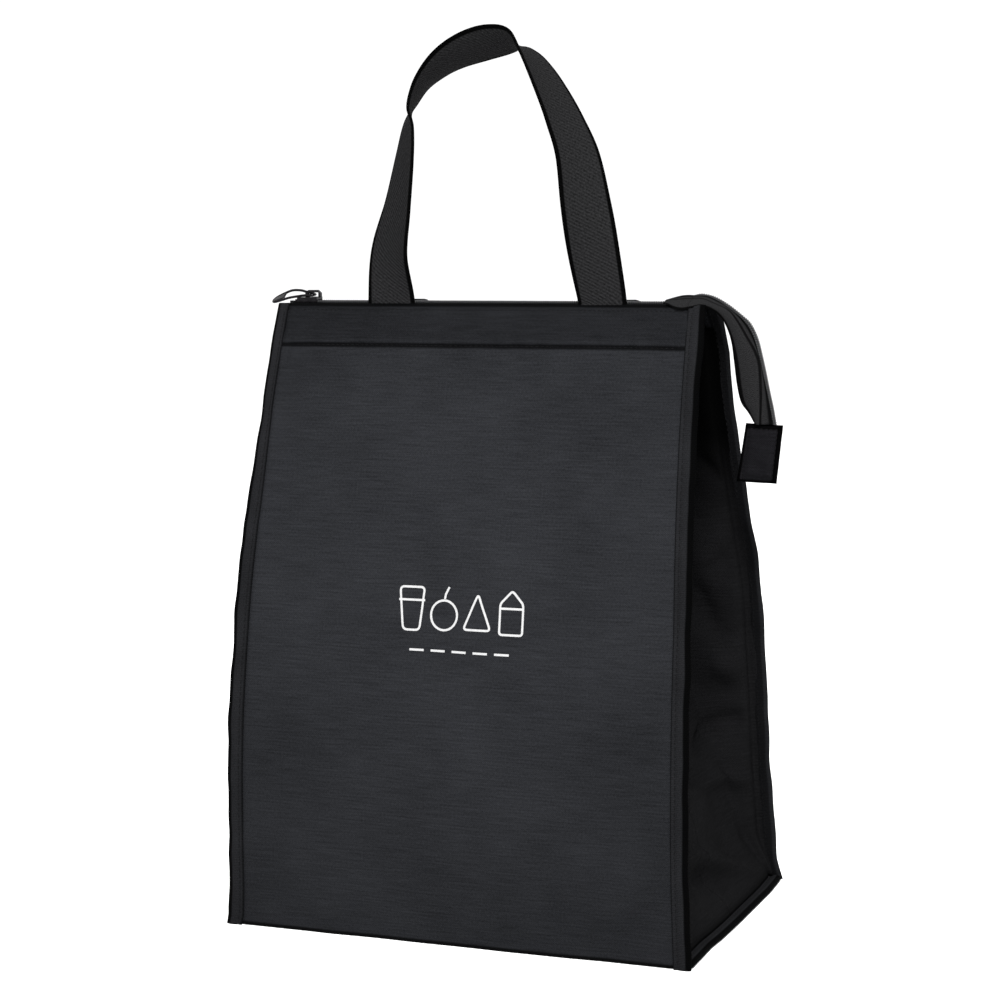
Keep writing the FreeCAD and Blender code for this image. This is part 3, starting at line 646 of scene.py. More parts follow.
def make_wall(wall):
    """The padded wall: outer cloth, foam within, turned hem, as one soft sheet."""
    name = WALL_NAMES[wall]
    share, z = np.meshgrid(WALL_SHARE, WALL_Z)
    x = share * (half_width(z, wall, share) - 4.2)
    relief = wall_relief(x, z, wall)
    inset = half_width(z, wall, x) - np.abs(x)
    thick = 1.3 + 4.4 * ease(inset, 12.4, 13.6) * (1 - 0.3 * ease(z, 313, 315.5))
    thick *= 1 - 0.55 * ease(-z, -6, -1.5)
    thick -= 0.9 * ease(z, 328.6, 330)
    outer = grid(x, wall * (wall_y(z) - relief), z)
    inner = grid(x, wall * np.maximum(wall_y(z, np.maximum(thick, 0.5)), wall_y(z) - relief + 0.5), z)
    made = closed_shell(f"{name}_wall_padded", outer, inner, grid(x, z, 0.0), SHELL)
    settle(made, "shell_fabric", None, (f"{name}_panel", f"{name}_foam", f"{name}_hem_facing"))
    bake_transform(made)

    def on_wall(xs, zs, lift):
        return grid(xs, wall * (wall_y(zs) - wall_relief(xs, zs, wall) - lift), zs)

    for seam, height, reach, pitch in (("stem", STEM, 107, 2.9), ("top", 326.8, 106, 2.6)):
        xs = np.linspace(-reach, reach, 220)
        line = on_wall(xs, np.full_like(xs, height), 0.1)
        stitches(f"{name}_{seam}_stitches", line, (0.0, -wall * 0.92, 0.39), pitch, f"{name}_wall")
    return on_wall


def make_lining(wall):
    """The silvered film over the inside of a wall."""
    name = WALL_NAMES[wall]
    share, z = np.meshgrid(np.linspace(-1, 1, 64), levels([(2.4, 0), (316, 4.0)]))
    x = share * (half_width(z, wall, share) - 13.0)
    ripple = 0.16 * smooth_noise(x * 0.05, z * 0.05, 30 + wall)
    outer = grid(x, wall * wall_y(z, 5.95 + ripple * 0.2), z)
    inner = grid(x, wall * wall_y(z, 6.45 + ripple), z)
    made = closed_shell(f"{name}_lining", outer, inner, grid(x, z, 0.0), FILM)
    settle(made, "silver_lining", f"{name}_wall", (f"{name}_liner",))


# The folded tape cut across: distance in from its outer edge, and height over the cloth.
BINDING_SECTION = (
    (9.3, 0.05), (9.0, 0.42), (8.5, 0.60), (7.9, 0.50), (7.3, 0.22), (6.7, 0.22), (6.1, 0.55),
    (5.2, 0.80), (4.0, 0.88), (2.8, 0.80), (1.7, 0.55), (0.8, 0.10), (0.2, -0.5), (0.0, -1.1),
    (0.2, -1.7), (0.9, -2.2), (2.0, -2.5), (4.0, -2.6), (6.0, -2.45), (8.0, -2.4), (9.2, -2.3),
)


def drift(place, pace, seed, layer=0):
    """Slow noise along an edge."""
    return noise.noise(Vector((place * pace, seed, layer)))


def binding_lay(place):
    """Cloth coordinates round the tape. Its hidden side starts away from the painted shade at the outer
    edge.
    """
    return [(inset + (6 if lift < -1.5 else 0), place, 0) for inset, lift in BINDING_SECTION]


def make_side_binding(wall, side):
    """The folded tape over the raised seam down one side of a wall."""
    name, body = f"{WALL_NAMES[wall]}_binding_{SIDE_NAMES[side]}", f"{WALL_NAMES[wall]}_wall"
    seed = 40 + 7 * wall + 3 * side
    rings, lays = [], []
    for z in levels([(0.3, 0), (3, 0.9), (327, 2.2), (330, 0.75)]):
        narrow = tape_width(z, wall, side) / WIDEST
        edge = float(half_width(z, wall, side))
        wave = 0.9 * drift(z, 0.028, seed) + 0.35 * drift(z, 0.11, seed, 2)
        swell = 0.9 * drift(z, 0.05, seed, 5)
        shrink = math.sqrt(max(0.05, 1 - max(0, 1 - min(z - 0.1, 330.2 - z) / 1.3) ** 2))
        ring = []
        for inset, lift in BINDING_SECTION:
            outward = edge - inset * narrow + swell * (1 - inset / WIDEST)
            lifted = (lift + 0.9) * shrink - 0.9 + wave * (1 - inset / 12)
            ring.append((side * outward, wall * (wall_y(z) - lifted), z))
        rings.append(ring)
        lays.append(binding_lay(z))
    settle(tube(name + "_tape", rings, BINDING, lays), "binding_tape", body, (name,))
    zs = np.linspace(3, 327, 240)
    wave = np.array([0.9 * drift(z, 0.028, seed) for z in zs])
    x = side * (half_width(zs, wall, side) - 7.0 * tape_width(zs, wall, side) / WIDEST)
    for row, (lift, up) in enumerate(((0.30, 1), (-2.55, -1))):
        line = grid(x, wall * (wall_y(zs) - lift - wave * 0.4), zs)
        stitches(f"{name}_stitches_{row}", line, (0.0, -wall * up, 0.2), 3.3, body)


# ---------------------------------------------------------------- base


FOOT_SWELL = (
    (-76, 0), (-45, 0.4), (-29, 1.8), (-13, 2.8), (3, 3.4),
    (19, 3.9), (35, 4.5), (51, 5), (67, 4.7), (76, 4.3),
)


def foot_swell(y, side):
    """How far the base seam of a side stands out of its straight line."""
    return np.interp(y, *np.transpose(FOOT_SWELL)) * (1.0 if side == RIGHT else 0.35)


def make_base():
    """Base cloth over foam, its lining, and the bound seams along its two sides."""
    xs, ys = np.linspace(-1, 1, 70), np.linspace(-1, 1, 50)
    half_x, half_y = 124.4, 78.6
    foam_x, foam_y = 115.1, 72.6
    x, y = np.meshgrid(xs * half_x, ys * half_y)
    edge = np.minimum(half_x - np.abs(x), half_y - np.abs(y))
    round_off = 1 - np.sqrt(1 - np.clip(1 - edge / 2.0, 0, 1) ** 2 * 0.98)
    inside = ease(np.minimum(foam_x - np.abs(x), foam_y - np.abs(y)), 0, 1.5)
    spread = np.where(x > 0, foot_swell(y, RIGHT), -foot_swell(y, LEFT))
    x += spread * ease(np.abs(x), 115.5, 122)
    low, high = grid(x, y, 0.05 + 0.55 * round_off), grid(x, y, 1.15 - 0.5 * round_off + 4.75 * inside)
    made = closed_shell("base_padded", low, high, grid(x * 0.3, y + 150, 0.0), SHELL)
    settle(made, "shell_fabric", "base", ("base_panel", "base_foam"))
    x, y = np.meshgrid(xs * 114.5, ys * 72.5)
    film = 0.12 * smooth_noise(x * 0.05, y * 0.05, 61)
    made = closed_shell("base_lining", grid(x, y, 6.42), grid(x, y, 6.85 + film), grid(x, y, 0.0), FILM)
    settle(made, "silver_lining", "base", ("base_liner",))
    for side in (RIGHT, LEFT):
        name = f"base_binding_{SIDE_NAMES[side]}"
        rings, lays = [], []
        for y in levels([(-76, 0), (-73, 0.8), (73, 2.2), (76, 0.8)]):
            wave = 0.35 * drift(y, 0.04, 70 + side)
            shrink = math.sqrt(max(0.05, 1 - max(0, 1 - (76.2 - abs(y)) / 1.5) ** 2))
            ring = []
            for inset, lift in BINDING_SECTION:
                height = 1.75 + (lift + 0.9) * shrink + max(0, wave) * (1 - inset / WIDEST)
                reach = HALF_WIDTH + foot_swell(y, side) - inset * 0.8 + wave * 0.6
                ring.append((side * reach, y, max(0.08, height)))
            rings.append(ring)
            lays.append(binding_lay(y))
        settle(tube(name + "_tape", rings, BINDING, lays), "binding_tape", "base", (name,))
        y = np.linspace(-72, 72, 90)
        line = grid(side * (HALF_WIDTH + foot_swell(y, side) - 4.6), y, 3.35)
        stitches(f"{name}_stitches", line, (0.0, 0.0, 1.0), 3.3, "base")


# ---------------------------------------------------------------- gussets

# The gusset's foot and top edge. The middle crease starts at GUSSET_X and leans inwards as it rises.
GUSSET_FOOT, GUSSET_TOP = 3.3, 316.0
GUSSET_X = 121.0
GUSSET_LEAN = 81.0 / GUSSET_TOP
# The fold beside the wall runs from FOLD_Y at the foot almost to the middle at the top.
FOLD_Y = 72.6
FOLD_RISE = (FOLD_Y - 1.3) / (GUSSET_TOP - GUSSET_FOOT)


def gusset_line(z, wall, side):
    """The folded line of a front right half gusset at a height, seen from above."""
    z = max(z, GUSSET_FOOT)
    edge = float(half_width(z, wall, side))
    lean = GUSSET_X - GUSSET_LEAN * z
    end_y = (z - GUSSET_FOOT) * FOLD_RISE - FOLD_Y - 0.4
    seam_y = min(float(wall_y(z, 6.5)) + 3.5, end_y - 0.1)
    flange = [(edge - 5.0, float(wall_y(z, 2.2))), (edge - 9.6, float(wall_y(z, 2.6)))]
    return np.array(flange + [(edge - 9.9, seam_y), (lean, end_y), (lean, 0.0), (lean, 80.0)])


def along_line(corners, places):
    """Places some way along a folded line."""
    steps = run_length(corners)
    return np.stack([np.interp(places, steps, column) for column in corners.T], -1)


GUSSET_Z = levels([(GUSSET_FOOT, 0), (12, 1.8), (300, 3.4), (GUSSET_TOP, 2.0)])
GUSSET_SHARE = np.r_[np.linspace(0, 0.14, 9)[:-1], np.linspace(0.14, 1, 40)]
# Creases in a gusset: from (y, z), to (y, z), width, and height or with a minus depth.
GUSSET_CREASES = (
    ((66, 206), (44, 184), 3.5, 3.4), ((64, 232), (50, 250), 3.5, -3.0), ((66, 98), (20, 84), 4.5, -4.2),
    ((-70, 66), (62, 6), 4.0, 5.2), ((-66, 50), (44, 2), 5, -4.0), ((-66, 108), (-26, 86), 5, 4.4),
    ((-30, 100), (50, 52), 5, -4.0), ((20, 66), (66, 60), 3.5, 3.2),
)


def gusset_relief(share, z, wall, side):
    """Dents and soft folds in the gusset. Positive stands out of the bag."""
    seed = 80 + 11 * side
    y = -72 * (1 - share) * wall * (1 if side == RIGHT else -1)
    relief = 1.6 * smooth_noise(y * 0.030, z * 0.018, seed)
    relief += 0.9 * smooth_noise(y * 0.07, z * 0.05, seed + 3)
    relief += 0.35 * smooth_noise(y * 0.16, z * 0.13, seed + 5)
    relief -= 7.0 * bell(y, 46, 8) * bell(z + (y - 46) * 1.3, 160, 13)
    relief += 7.0 * bell(y, 53, 10) * bell(z, 128, 10)
    for start, end, width, height in GUSSET_CREASES:
        relief += crease(y, z, start, end, width, height)
    hold = ease(share, 0.05, 0.2) * ease(z, 3, 20) * ease(-z, -306, -250)
    return np.clip(relief * hold * 1.2, -5.5, 9.0)


def gusset_sheet(wall, side, offset, rounding=6.0):
    """Points of one half gusset some way in from its outer face, and its cloth coordinates."""
    base_points, lay = [], []
    offsets = np.linspace(-1, 1, 9)
    weights = np.cos(offsets * math.pi / 2) + 0.05
    for z in GUSSET_Z:
        corners = gusset_line(z, wall, side)
        places = GUSSET_SHARE * run_length(corners)[4]
        reach = rounding * min(1.0, (z + 6) / 40) * ease(GUSSET_SHARE, 0.02, 0.16)
        spread = sum(
            weight * along_line(corners, np.maximum(places + shift * reach, 0))
            for shift, weight in zip(offsets, weights)
        )
        spread /= weights.sum()
        spread[-1, 1] = 0.0
        base_points.append(grid(*spread.T, z))
        lay.append(grid(places, z, 0.0))
    points = np.array(base_points)
    du, dv = np.gradient(points, axis=1), np.gradient(points, axis=0)
    du[:, -1] = (0, 1, 0)
    normal = np.cross(du, dv)
    normal /= np.linalg.norm(normal, axis=2, keepdims=True) + 1e-9
    share, z = np.meshgrid(GUSSET_SHARE, GUSSET_Z)
    squeeze = 0.25 + 0.75 * ease(share, 0.045, 0.12)
    points += normal * (gusset_relief(share, z, wall, side) - offset * squeeze)[..., None]
    # Near the top the two halves of a gusset almost meet, so each keeps to its own side.
    near_top = points[..., 2] > 290
    points[..., 1] = np.minimum(points[..., 1], -0.25 - offset * (share < 1) * near_top)
    points[:, -1, 1] = -0.03
    return points, np.array(lay)


def place_quarter(points, wall, side):
    """A front right half gusset moved to its own corner, with the foot spread over the base seam."""
    placed = points * np.array([1.0, wall, 1.0])
    low = 1 - ease(placed[..., 2], GUSSET_FOOT, 30)
    inner = ease(-np.abs(placed[..., 1]), -79, -70)
    placed[..., 0] += low * (foot_swell(placed[..., 1], side) + 3.6 * inner)
    return placed * np.array([side, 1.0, 1.0])


def make_gusset(wall, side):
    """Half of one side gusset, which unfolds from the wall's seam to the middle crease."""
    wall_name, corner_name = WALL_NAMES[wall], f"{SIDE_NAMES[side]}_{WALL_NAMES[wall]}"
    for kind, near, far, material, slot, skip, nodes in (
        ("cloth", 0.0, 2.4, GUSSET_SHADED_CLOTH, "gusset_fabric", (0, 0), ("gusset", "pleat")),
        ("lining", 2.6, 3.0, FILM, "silver_lining", (2, 8), ("gusset_liner", "pleat_liner")),
    ):
        outer, lay = gusset_sheet(wall, side, near)
        inner, _ = gusset_sheet(wall, side, far)
        outer, inner, lay = (points[skip[0] :, skip[1] :] for points in (outer, inner, lay))
        outer, inner = (place_quarter(points, wall, side) for points in (outer, inner))
        made = closed_shell(f"gusset_{corner_name}_{kind}", outer, inner, lay, material)
        settle(made, slot, None, [f"{node}_{corner_name}" for node in nodes])
        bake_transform(made)


# ---------------------------------------------------------------- zip

# The ridge of the closed zip, in the plane of symmetry: (x, z).
RIDGE = (
    (-110, 331.2), (60, 331.2), (96, 331.2), (101, 331.2), (105.6, 331.2), (107.4, 331.7),
    (109.5, 332.7), (113.4, 334.6), (118, 335.2), (124.5, 333.5), (131, 329.9), (137.5, 325.0),
    (142.8, 320.2), (146.6, 312.5), (149.0, 303), (150.9, 294), (152.6, 285), (154.2, 277.5),
    (155.8, 268),
)
# Where the tail starts.
ROOT_X = 113.4


def smooth_curve(points, count=None, spacing=None):
    """Even places on a smooth curve through the points."""
    points = np.asarray(points, float)
    padded = np.vstack([2 * points[0] - points[1], points, 2 * points[-1] - points[-2]])
    t = (np.arange(12) / 12)[:, None]
    fine = []
    for p0, p1, p2, p3 in zip(padded, padded[1:], padded[2:], padded[3:]):
        square, cube = 2 * p0 - 5 * p1 + 4 * p2 - p3, 3 * p1 - p0 - 3 * p2 + p3
        fine.append(0.5 * (2 * p1 + (p2 - p0) * t + square * t**2 + cube * t**3))
    fine = np.vstack(fine + [points[-1:]])
    steps = run_length(fine)
    at = np.linspace(0, steps[-1], count or max(3, round(steps[-1] / spacing) + 1))
    return np.stack([np.interp(at, steps, column) for column in fine.T], -1)


def split_ridge(spacing, tail):
    """Stations along the ridge, in the bag or in the tail, with their tangents."""
    line = smooth_curve(RIDGE, spacing=spacing)
    edge = np.array([[ROOT_X, np.interp(ROOT_X, line[:, 0], line[:, 1])]])
    bag, past = line[line[:, 0] < ROOT_X], line[line[:, 0] >= ROOT_X]
    part = np.vstack([edge, past] if tail else [bag, edge])
    return part, unit(np.gradient(part, axis=0))


def bend_zip(made, tail):
    """Bakes a zip piece's placement into its mesh, the same way for the tail as for the bag."""
    if tail:
        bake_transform(made)
    else:
        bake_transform(made)


def make_coil(wall, tail):
    """One row of the nylon coil as a wound thread."""
    pitch, thread = 1.25, 0.36
    reach_y, reach_z, depth = 1.05, 0.75, 1.1
    part, tangent = split_ridge(pitch / 10, tail)
    turn = run_length(part) / pitch * 2 * math.pi + (0 if wall == FRONT else math.pi)
    normal = np.stack([-tangent[:, 1], tangent[:, 0]], -1)
    place = part + normal * (reach_z * np.sin(turn) - depth)[:, None]
    line = grid(place[:, 0], -wall * reach_y * (1 + np.cos(turn)), place[:, 1])
    run = unit(np.gradient(line, axis=0))
    side = unit(np.cross(run, grid(tangent[:, 0], 0.0, tangent[:, 1])))
    rings = wire(line, side, np.cross(run, side), thread, 5)
    label = "tail_coil" if tail else "zip_coil"
    made = tube(f"{label}_wound_{WALL_NAMES[wall]}", rings, COIL)
    stands_for = (f"zip_coil_{WALL_NAMES[wall]}",)
    if tail:
        stands_for = ("tail_coil",) if wall == FRONT else ()
    settle(made, "zip_coil", None, stands_for)
    bend_zip(made, tail)


def make_bag_tape(wall):
    """The tape from the coil, level and then down inside the hem."""
    part, _ = split_ridge(2.0, False)
    width = levels([(0, 0), (4.6, 0.9), (7.4, 0.35), (14, 1.6)])
    x, lift = part[:, :1], part[:, 1:] - RIDGE[0][1]
    level_z, turn_at, hem_z, thick = 328.95, 5.0, 328.3, 0.55
    z = np.where(width < turn_at, level_z + lift * (1 - width / 7), level_z + turn_at - width)
    y = np.where(width < turn_at, -1.6 - width, wall_y(np.minimum(z, hem_z), 4.9))
    sag = 0.25 * np.sin(np.minimum(width, turn_at) / turn_at * math.pi)
    # The under side lies below the level part, and behind the part that hangs in the hem.
    hangs = width >= 4.7
    low = np.where(hangs, np.minimum(z, hem_z), z - sag - thick)
    inner = grid(x, wall * (y + thick * hangs), low)
    name = f"zip_tape_{WALL_NAMES[wall]}"
    made = closed_shell(f"{name}_woven", grid(x, wall * y, z - sag), inner, grid(x, width, 0.0), TAPE)
    settle(made, "zip_tape", None, (name,))
    bend_zip(made, False)


# The front flap of the tail: its free edge, the line it folds along, and the edge at the coil.
FLAP_EDGE = (
    (99.0, -8.0, 330.7), (101.5, -8.9, 330.3), (104.5, -9.6, 328.6), (108.5, -9.9, 327.6),
    (113.5, -9.3, 328.4), (118.5, -7.6, 329.6), (123.5, -5.8, 327.8), (127.8, -4.6, 324.0),
    (131.2, -4.0, 318.2), (133.6, -4.0, 310.5), (134.9, -4.0, 300.0), (136.2, -4.0, 288.7),
    (138.2, -3.8, 279.8), (141.9, -3.4, 274.4), (145.3, -3.0, 268.2),
)
FOLD_EDGE = (
    (99.0, -5.9, 331.7), (101.5, -6.0, 332.2), (105.0, -5.6, 332.6), (109.0, -4.9, 332.9),
    (113.5, -4.8, 333.0), (118.5, -4.4, 333.0), (125.0, -4.0, 330.4), (132.4, -3.9, 327.0),
    (137.1, -3.9, 321.0), (141.7, -3.9, 313.3), (145.9, -3.9, 306.2), (148.3, -3.9, 299.0),
    (148.7, -3.9, 285.0), (148.2, -3.7, 276.0), (147.6, -3.4, 268.2),
)
RIDGE_EDGE = (
    (99.0, -4.4, 332.2), (101.5, -4.5, 332.9), (105.0, -4.3, 333.7), (108.5, -2.9, 334.1),
    (112.5, -2.3, 334.1), (116.5, -2.3, 334.3), (121.5, -2.3, 333.8), (127.5, -2.3, 331.0),
    (134.0, -2.3, 326.6), (139.6, -2.3, 321.8), (144.6, -2.3, 314.0), (148.0, -2.3, 302.5),
    (150.8, -2.3, 289.5), (152.8, -2.3, 279.5), (154.8, -2.3, 268.4),
)


def make_flap(wall):
    """The tape past the hem: over the corner of the bag, then folded down along the tail."""
    count, fold_share = 90, 0.33
    far, fold, near = (smooth_curve(edge, count)[:, None] for edge in (FLAP_EDGE, FOLD_EDGE, RIDGE_EDGE))
    t = np.r_[np.linspace(0, 0.32, 6), np.linspace(0.345, 1, 13)][:, None]
    fold_column = 7
    index = np.arange(count)[:, None, None]
    drop = ease(index, count * 0.3, count * 0.45) * ease(t, 0, 0.2)
    above = near + (fold - near) * (t / fold_share) + drop * (0.0, 1.1, 0.0)
    part = (t - fold_share) / (1 - fold_share)
    below = fold + (far - fold) * part + np.sin(part * math.pi) * (0.0, -0.8, 0.24)
    sheet = np.where(t < fold_share, above, below)
    normal = unit(np.cross(np.gradient(sheet, axis=1), np.gradient(sheet, axis=0)))
    if normal[count // 2, fold_column, 1] > 0:
        normal = -normal
    lay = grid(index[..., 0] * 1.1, t[:, 0] * 15, 0.0)
    cut = int(np.argmin(np.abs(sheet[:, fold_column, 0] - ROOT_X)))
    flip = np.array([1.0, wall, 1.0])
    outer, inner = (sheet + normal * 0.1) * flip, (sheet - normal * 0.5) * flip
    for tail, rows in ((False, slice(0, cut + 1)), (True, slice(cut, None))):
        name = f"zip_flap_{'tail' if tail else 'root'}_{WALL_NAMES[wall]}"
        made = closed_shell(name, outer[rows], inner[rows], lay[rows], TAPE)
        settle(made, "zip_tape", None, (f"tail_tape_{WALL_NAMES[wall]}",) if tail else ())
        bend_zip(made, tail)


TAB_CORNERS = np.array([(159.2, 267.8), (139.6, 268.6), (134.2, 238.0), (155.4, 237.4)])


def on_tab(u, v):
    """The place (x, z) in the tab for shares of its width and height."""
    top_right, top_left, low_left, low_right = TAB_CORNERS
    low = low_left + (low_right - low_left) * u[..., None]
    high = top_left + (top_right - top_left) * u[..., None]
    return low + (high - low) * v[..., None]


def make_tab():
    """The folded fabric end, sewn over the bottom of the tail."""
    count = 34
    width, height, inset = 20.5, 30.5, 2.4
    u, v = np.meshgrid(np.linspace(0, 1, count), np.linspace(0, 1, count + 8))
    x, z = np.moveaxis(on_tab(u, v), -1, 0)
    edge = np.minimum(np.minimum(u, 1 - u) * width, np.minimum(v, 1 - v) * height)
    rounding = np.sqrt(1 - np.clip(1 - edge / 1.3, 0, 1) ** 2 * 0.97)
    thick = 1.35 * rounding + 0.75 * ease(edge, 2.0, 6.0) - 0.35 * bell(edge, 2.3, 0.5)
    wave = 0.35 * smooth_noise(u * 3, v * 4, 91)
    lay = grid(u * width, v * height, 0.0)
    made = closed_shell(
        "zip_end_tab_folded", grid(x, wave - thick, z), grid(x, wave + thick, z), lay, TAB_CLOTH
    )
    settle(made, "shell_fabric", "tail", ("zip_end_tab",))
    side_in, end_in = inset / width, inset / height
    loop = on_tab(
        np.array([side_in, 1 - side_in, 1 - side_in, side_in, side_in]),
        np.array([end_in, end_in, 1 - end_in, 1 - end_in, end_in]),
    )
    per_side = 13
    places = np.arange(4 * per_side + 1) / per_side
    x, z = (np.interp(places, np.arange(5), column) for column in loop.T)
    for face in (FRONT, BACK):
        name = f"zip_end_tab_stitches_{WALL_NAMES[face]}"
        stitches(name, grid(x, -face * 1.25, z), (0.0, -face, 0.0), 2.6, "tail")


# ---------------------------------------------------------------- handles

STRAP_WIDTH, STRAP_THICK = 27.0, 1.8
# Along the lifted strap: across and up, the turn of its width about the upright, the rise of its
# near edge, and how far its middle bows out.
FRONT_STRAP = (
    (-54.4, 333.4, 0, 0, 0.0), (-53.6, 356, -20, 0, 0.2), (-46.8, 381, -35, 0, 0.2),
    (-41.6, 407, -46, 0, 0.2), (-38.6, 424, -56, 0, 0.0), (-36.4, 434, -74, 7, 0.0),
    (-31.0, 444, -80, 13, 0.4), (-22.0, 453.0, -86, 22, 1.0), (-12.0, 459.4, -88, 31, 1.2),
    (0.0, 464.0, -90, 38, 1.4), (11.6, 466.6, -91, 37, 1.6), (22.0, 467.0, -93, 26, 2.4),
    (29.4, 461.0, -97, 13, 2.4), (36.2, 450.8, -104, 5, 1.4), (43.0, 437.8, -111, 1, 0.7),
    (48.9, 424.6, -118, 0, 0.4), (55.3, 406.7, -128, 0, 0.2), (59.2, 381, -146, 0, 0.2),
    (62.0, 356, -166, 0, 0.2), (64.9, 333.4, -180, 0, 0.0),
)
# Along the hanging strap: across, how far out from its hinge, and the turn of its width. HANG is how
# far it has swung over from upright.
BACK_STRAP = (
    (-60.0, 42, 0), (-56.4, 73, -16), (-46.8, 104, -48), (-31.2, 127, -78), (-12, 138, -88),
    (0, 141, -90), (12, 138, -92), (31.2, 127, -102), (46.8, 104, -132), (56.4, 73, -164),
    (60.0, 42, -180),
)
HANG = math.radians(142.0)


def hem_stations(x, turn, wall):
    """The strap inside the hem, from its cut end up to the hem's top edge."""
    return [(x, wall * float(wall_y(z, 2.25)), z, turn, 0, 0) for z in (318.5, 322, 325.5, 328.5)]


def strap_path(stations):
    """Even places along a strap, and the direction in which it runs."""
    path = smooth_curve(stations, spacing=2.2)
    return path, unit(np.gradient(path[:, :3], axis=0))


def make_strap(body, path, run, width, seed):
    """A webbing strap along a path, for given directions across it, sewn in at both ends."""
    width = unit(width - run * np.sum(run * width, 1, keepdims=True))
    face = np.cross(run, width)
    steps = run_length(path[:, :3])
    share = np.linspace(-1, 1, 37)
    flat = share * STRAP_WIDTH / 2
    thick = STRAP_THICK / 2 * (1 - np.abs(share) ** 14) ** 0.5
    thick *= 1 - 0.22 * (np.abs(share) > 0.88)
    wave = np.array([0.8 * drift(step, 0.02, seed) for step in steps])
    bow = (path[:, 5] + wave)[:, None] * (1 - share**2)
    middle = path[:, None, :3] + width[:, None] * flat[:, None]
    upper = middle + face[:, None] * (bow + thick)[..., None]
    lower = middle + face[:, None] * (bow - thick)[..., None]
    rings = np.concatenate([upper, lower[:, -2:0:-1]], 1)
    lay = grid(np.r_[flat, flat[-2:0:-1]], steps[:, None], 0.0)
    made = tube(f"{body}_webbing", rings, WEBBING, lay)
    return settle(made, "webbing", None, (body, f"{body}_end_left", f"{body}_end_right"))


def make_front_handle():
    """The front strap, which stands up in an arch and leans a little forward."""
    foot_y = float(wall_y(TOP, 1.2)) + 0.2
    loop = [
        (x, foot_y - 5.0 * min(1.0, (z - 333.4) / 47), z, turn, rise, bow)
        for x, z, turn, rise, bow in FRONT_STRAP
    ]
    left, right = FRONT_FEET
    stations = hem_stations(left, 0, FRONT) + loop + hem_stations(right, -180, FRONT)[::-1]
    path, run = strap_path(stations)
    turn, rise = np.radians(path[:, 3]), np.radians(path[:, 4])
    level = np.cos(rise)
    width = grid(np.cos(turn) * level, np.sin(turn) * level, np.sin(rise))
    made = make_strap("front_handle", path, run, width, 96)
    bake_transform(made)


def make_back_handle():
    """The back strap, which turns over the hem and hangs down behind the wall."""
    left, right = BACK_FEET
    middle, pivot_y, pivot_z = (left + right) / 2, 6.68, 334.2
    hung = []
    for across, up, turn in BACK_STRAP:
        y, z = pivot_y + up * math.sin(HANG), pivot_z + up * math.cos(HANG)
        hung.append((middle + across, y, z, turn, 0, 0))
    over = ((329.7, 6.8), (330.4, 7.7), (330.2, 9.5), (328.0, 11.8), (322.6, 15.2))
    stations = hem_stations(left, 0, BACK) + [(left, y, z, 0, 0, 0) for z, y in over] + hung
    stations += [(right, y, z, -180, 0, 0) for z, y in over[::-1]]
    stations += hem_stations(right, -180, BACK)[::-1]
    path, run = strap_path(stations)
    turn, angle = np.radians(path[:, 3]), HANG * ease(path[:, 1], 8.0, 14.0)
    width = grid(np.cos(turn), -np.sin(turn) * np.cos(angle), np.sin(turn) * np.sin(angle))
    made = make_strap("back_handle", path, run, width, 95)
    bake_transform(made)


# ---------------------------------------------------------------- print

PRINT_X, PRINT_Z = 3.0, 176.0


def line_strip(corners, width, closed=True):
    """A line of even width along a closed or open outline, as rows of left and right points."""
    corners = np.array(corners, float)
    if closed:
        before, after = np.roll(corners, 1, 0), np.roll(corners, -1, 0)
    else:
        before = np.vstack([2 * corners[0] - corners[1], corners[:-1]])
        after = np.vstack([corners[1:], 2 * corners[-1] - corners[-2]])
    first, second = unit(corners - before), unit(after - corners)
    bisect = unit(first + second)
    normal = np.stack([-bisect[:, 1], bisect[:, 0]], -1)
    stretch = 1 / np.maximum(0.45, np.sum(bisect * first, 1))
    shift = normal * (stretch * width / 2)[:, None]
    return corners + shift, corners - shift


def refine(corners, closed=True, step=1.6):
    """More points along an outline, so that a print on it follows the cloth."""
    loop = list(corners) + ([corners[0]] if closed else [])
    fine = []
    for start, end in zip(loop[:-1], loop[1:]):
        start, end = np.array(start, float), np.array(end, float)
        count = max(1, int(np.linalg.norm(end - start) / step))
        fine += [start + (end - start) * k / count for k in range(count)]
    if not closed:
        fine.append(np.array(loop[-1], float))
    return fine


def rounded(corners, radius, steps=5):
    """A closed outline with its corners rounded."""
    corners = [np.array(c, float) for c in corners]
    fine = []
    for index, corner in enumerate(corners):
        before, after = corners[index - 1], corners[(index + 1) % len(corners)]
        cut_in, cut_out = (corner + unit(end - corner) * radius for end in (before, after))
        for t in np.arange(steps + 1) / steps:
            fine.append(cut_in * (1 - t) ** 2 + corner * 2 * t * (1 - t) + cut_out * t**2)
    return fine


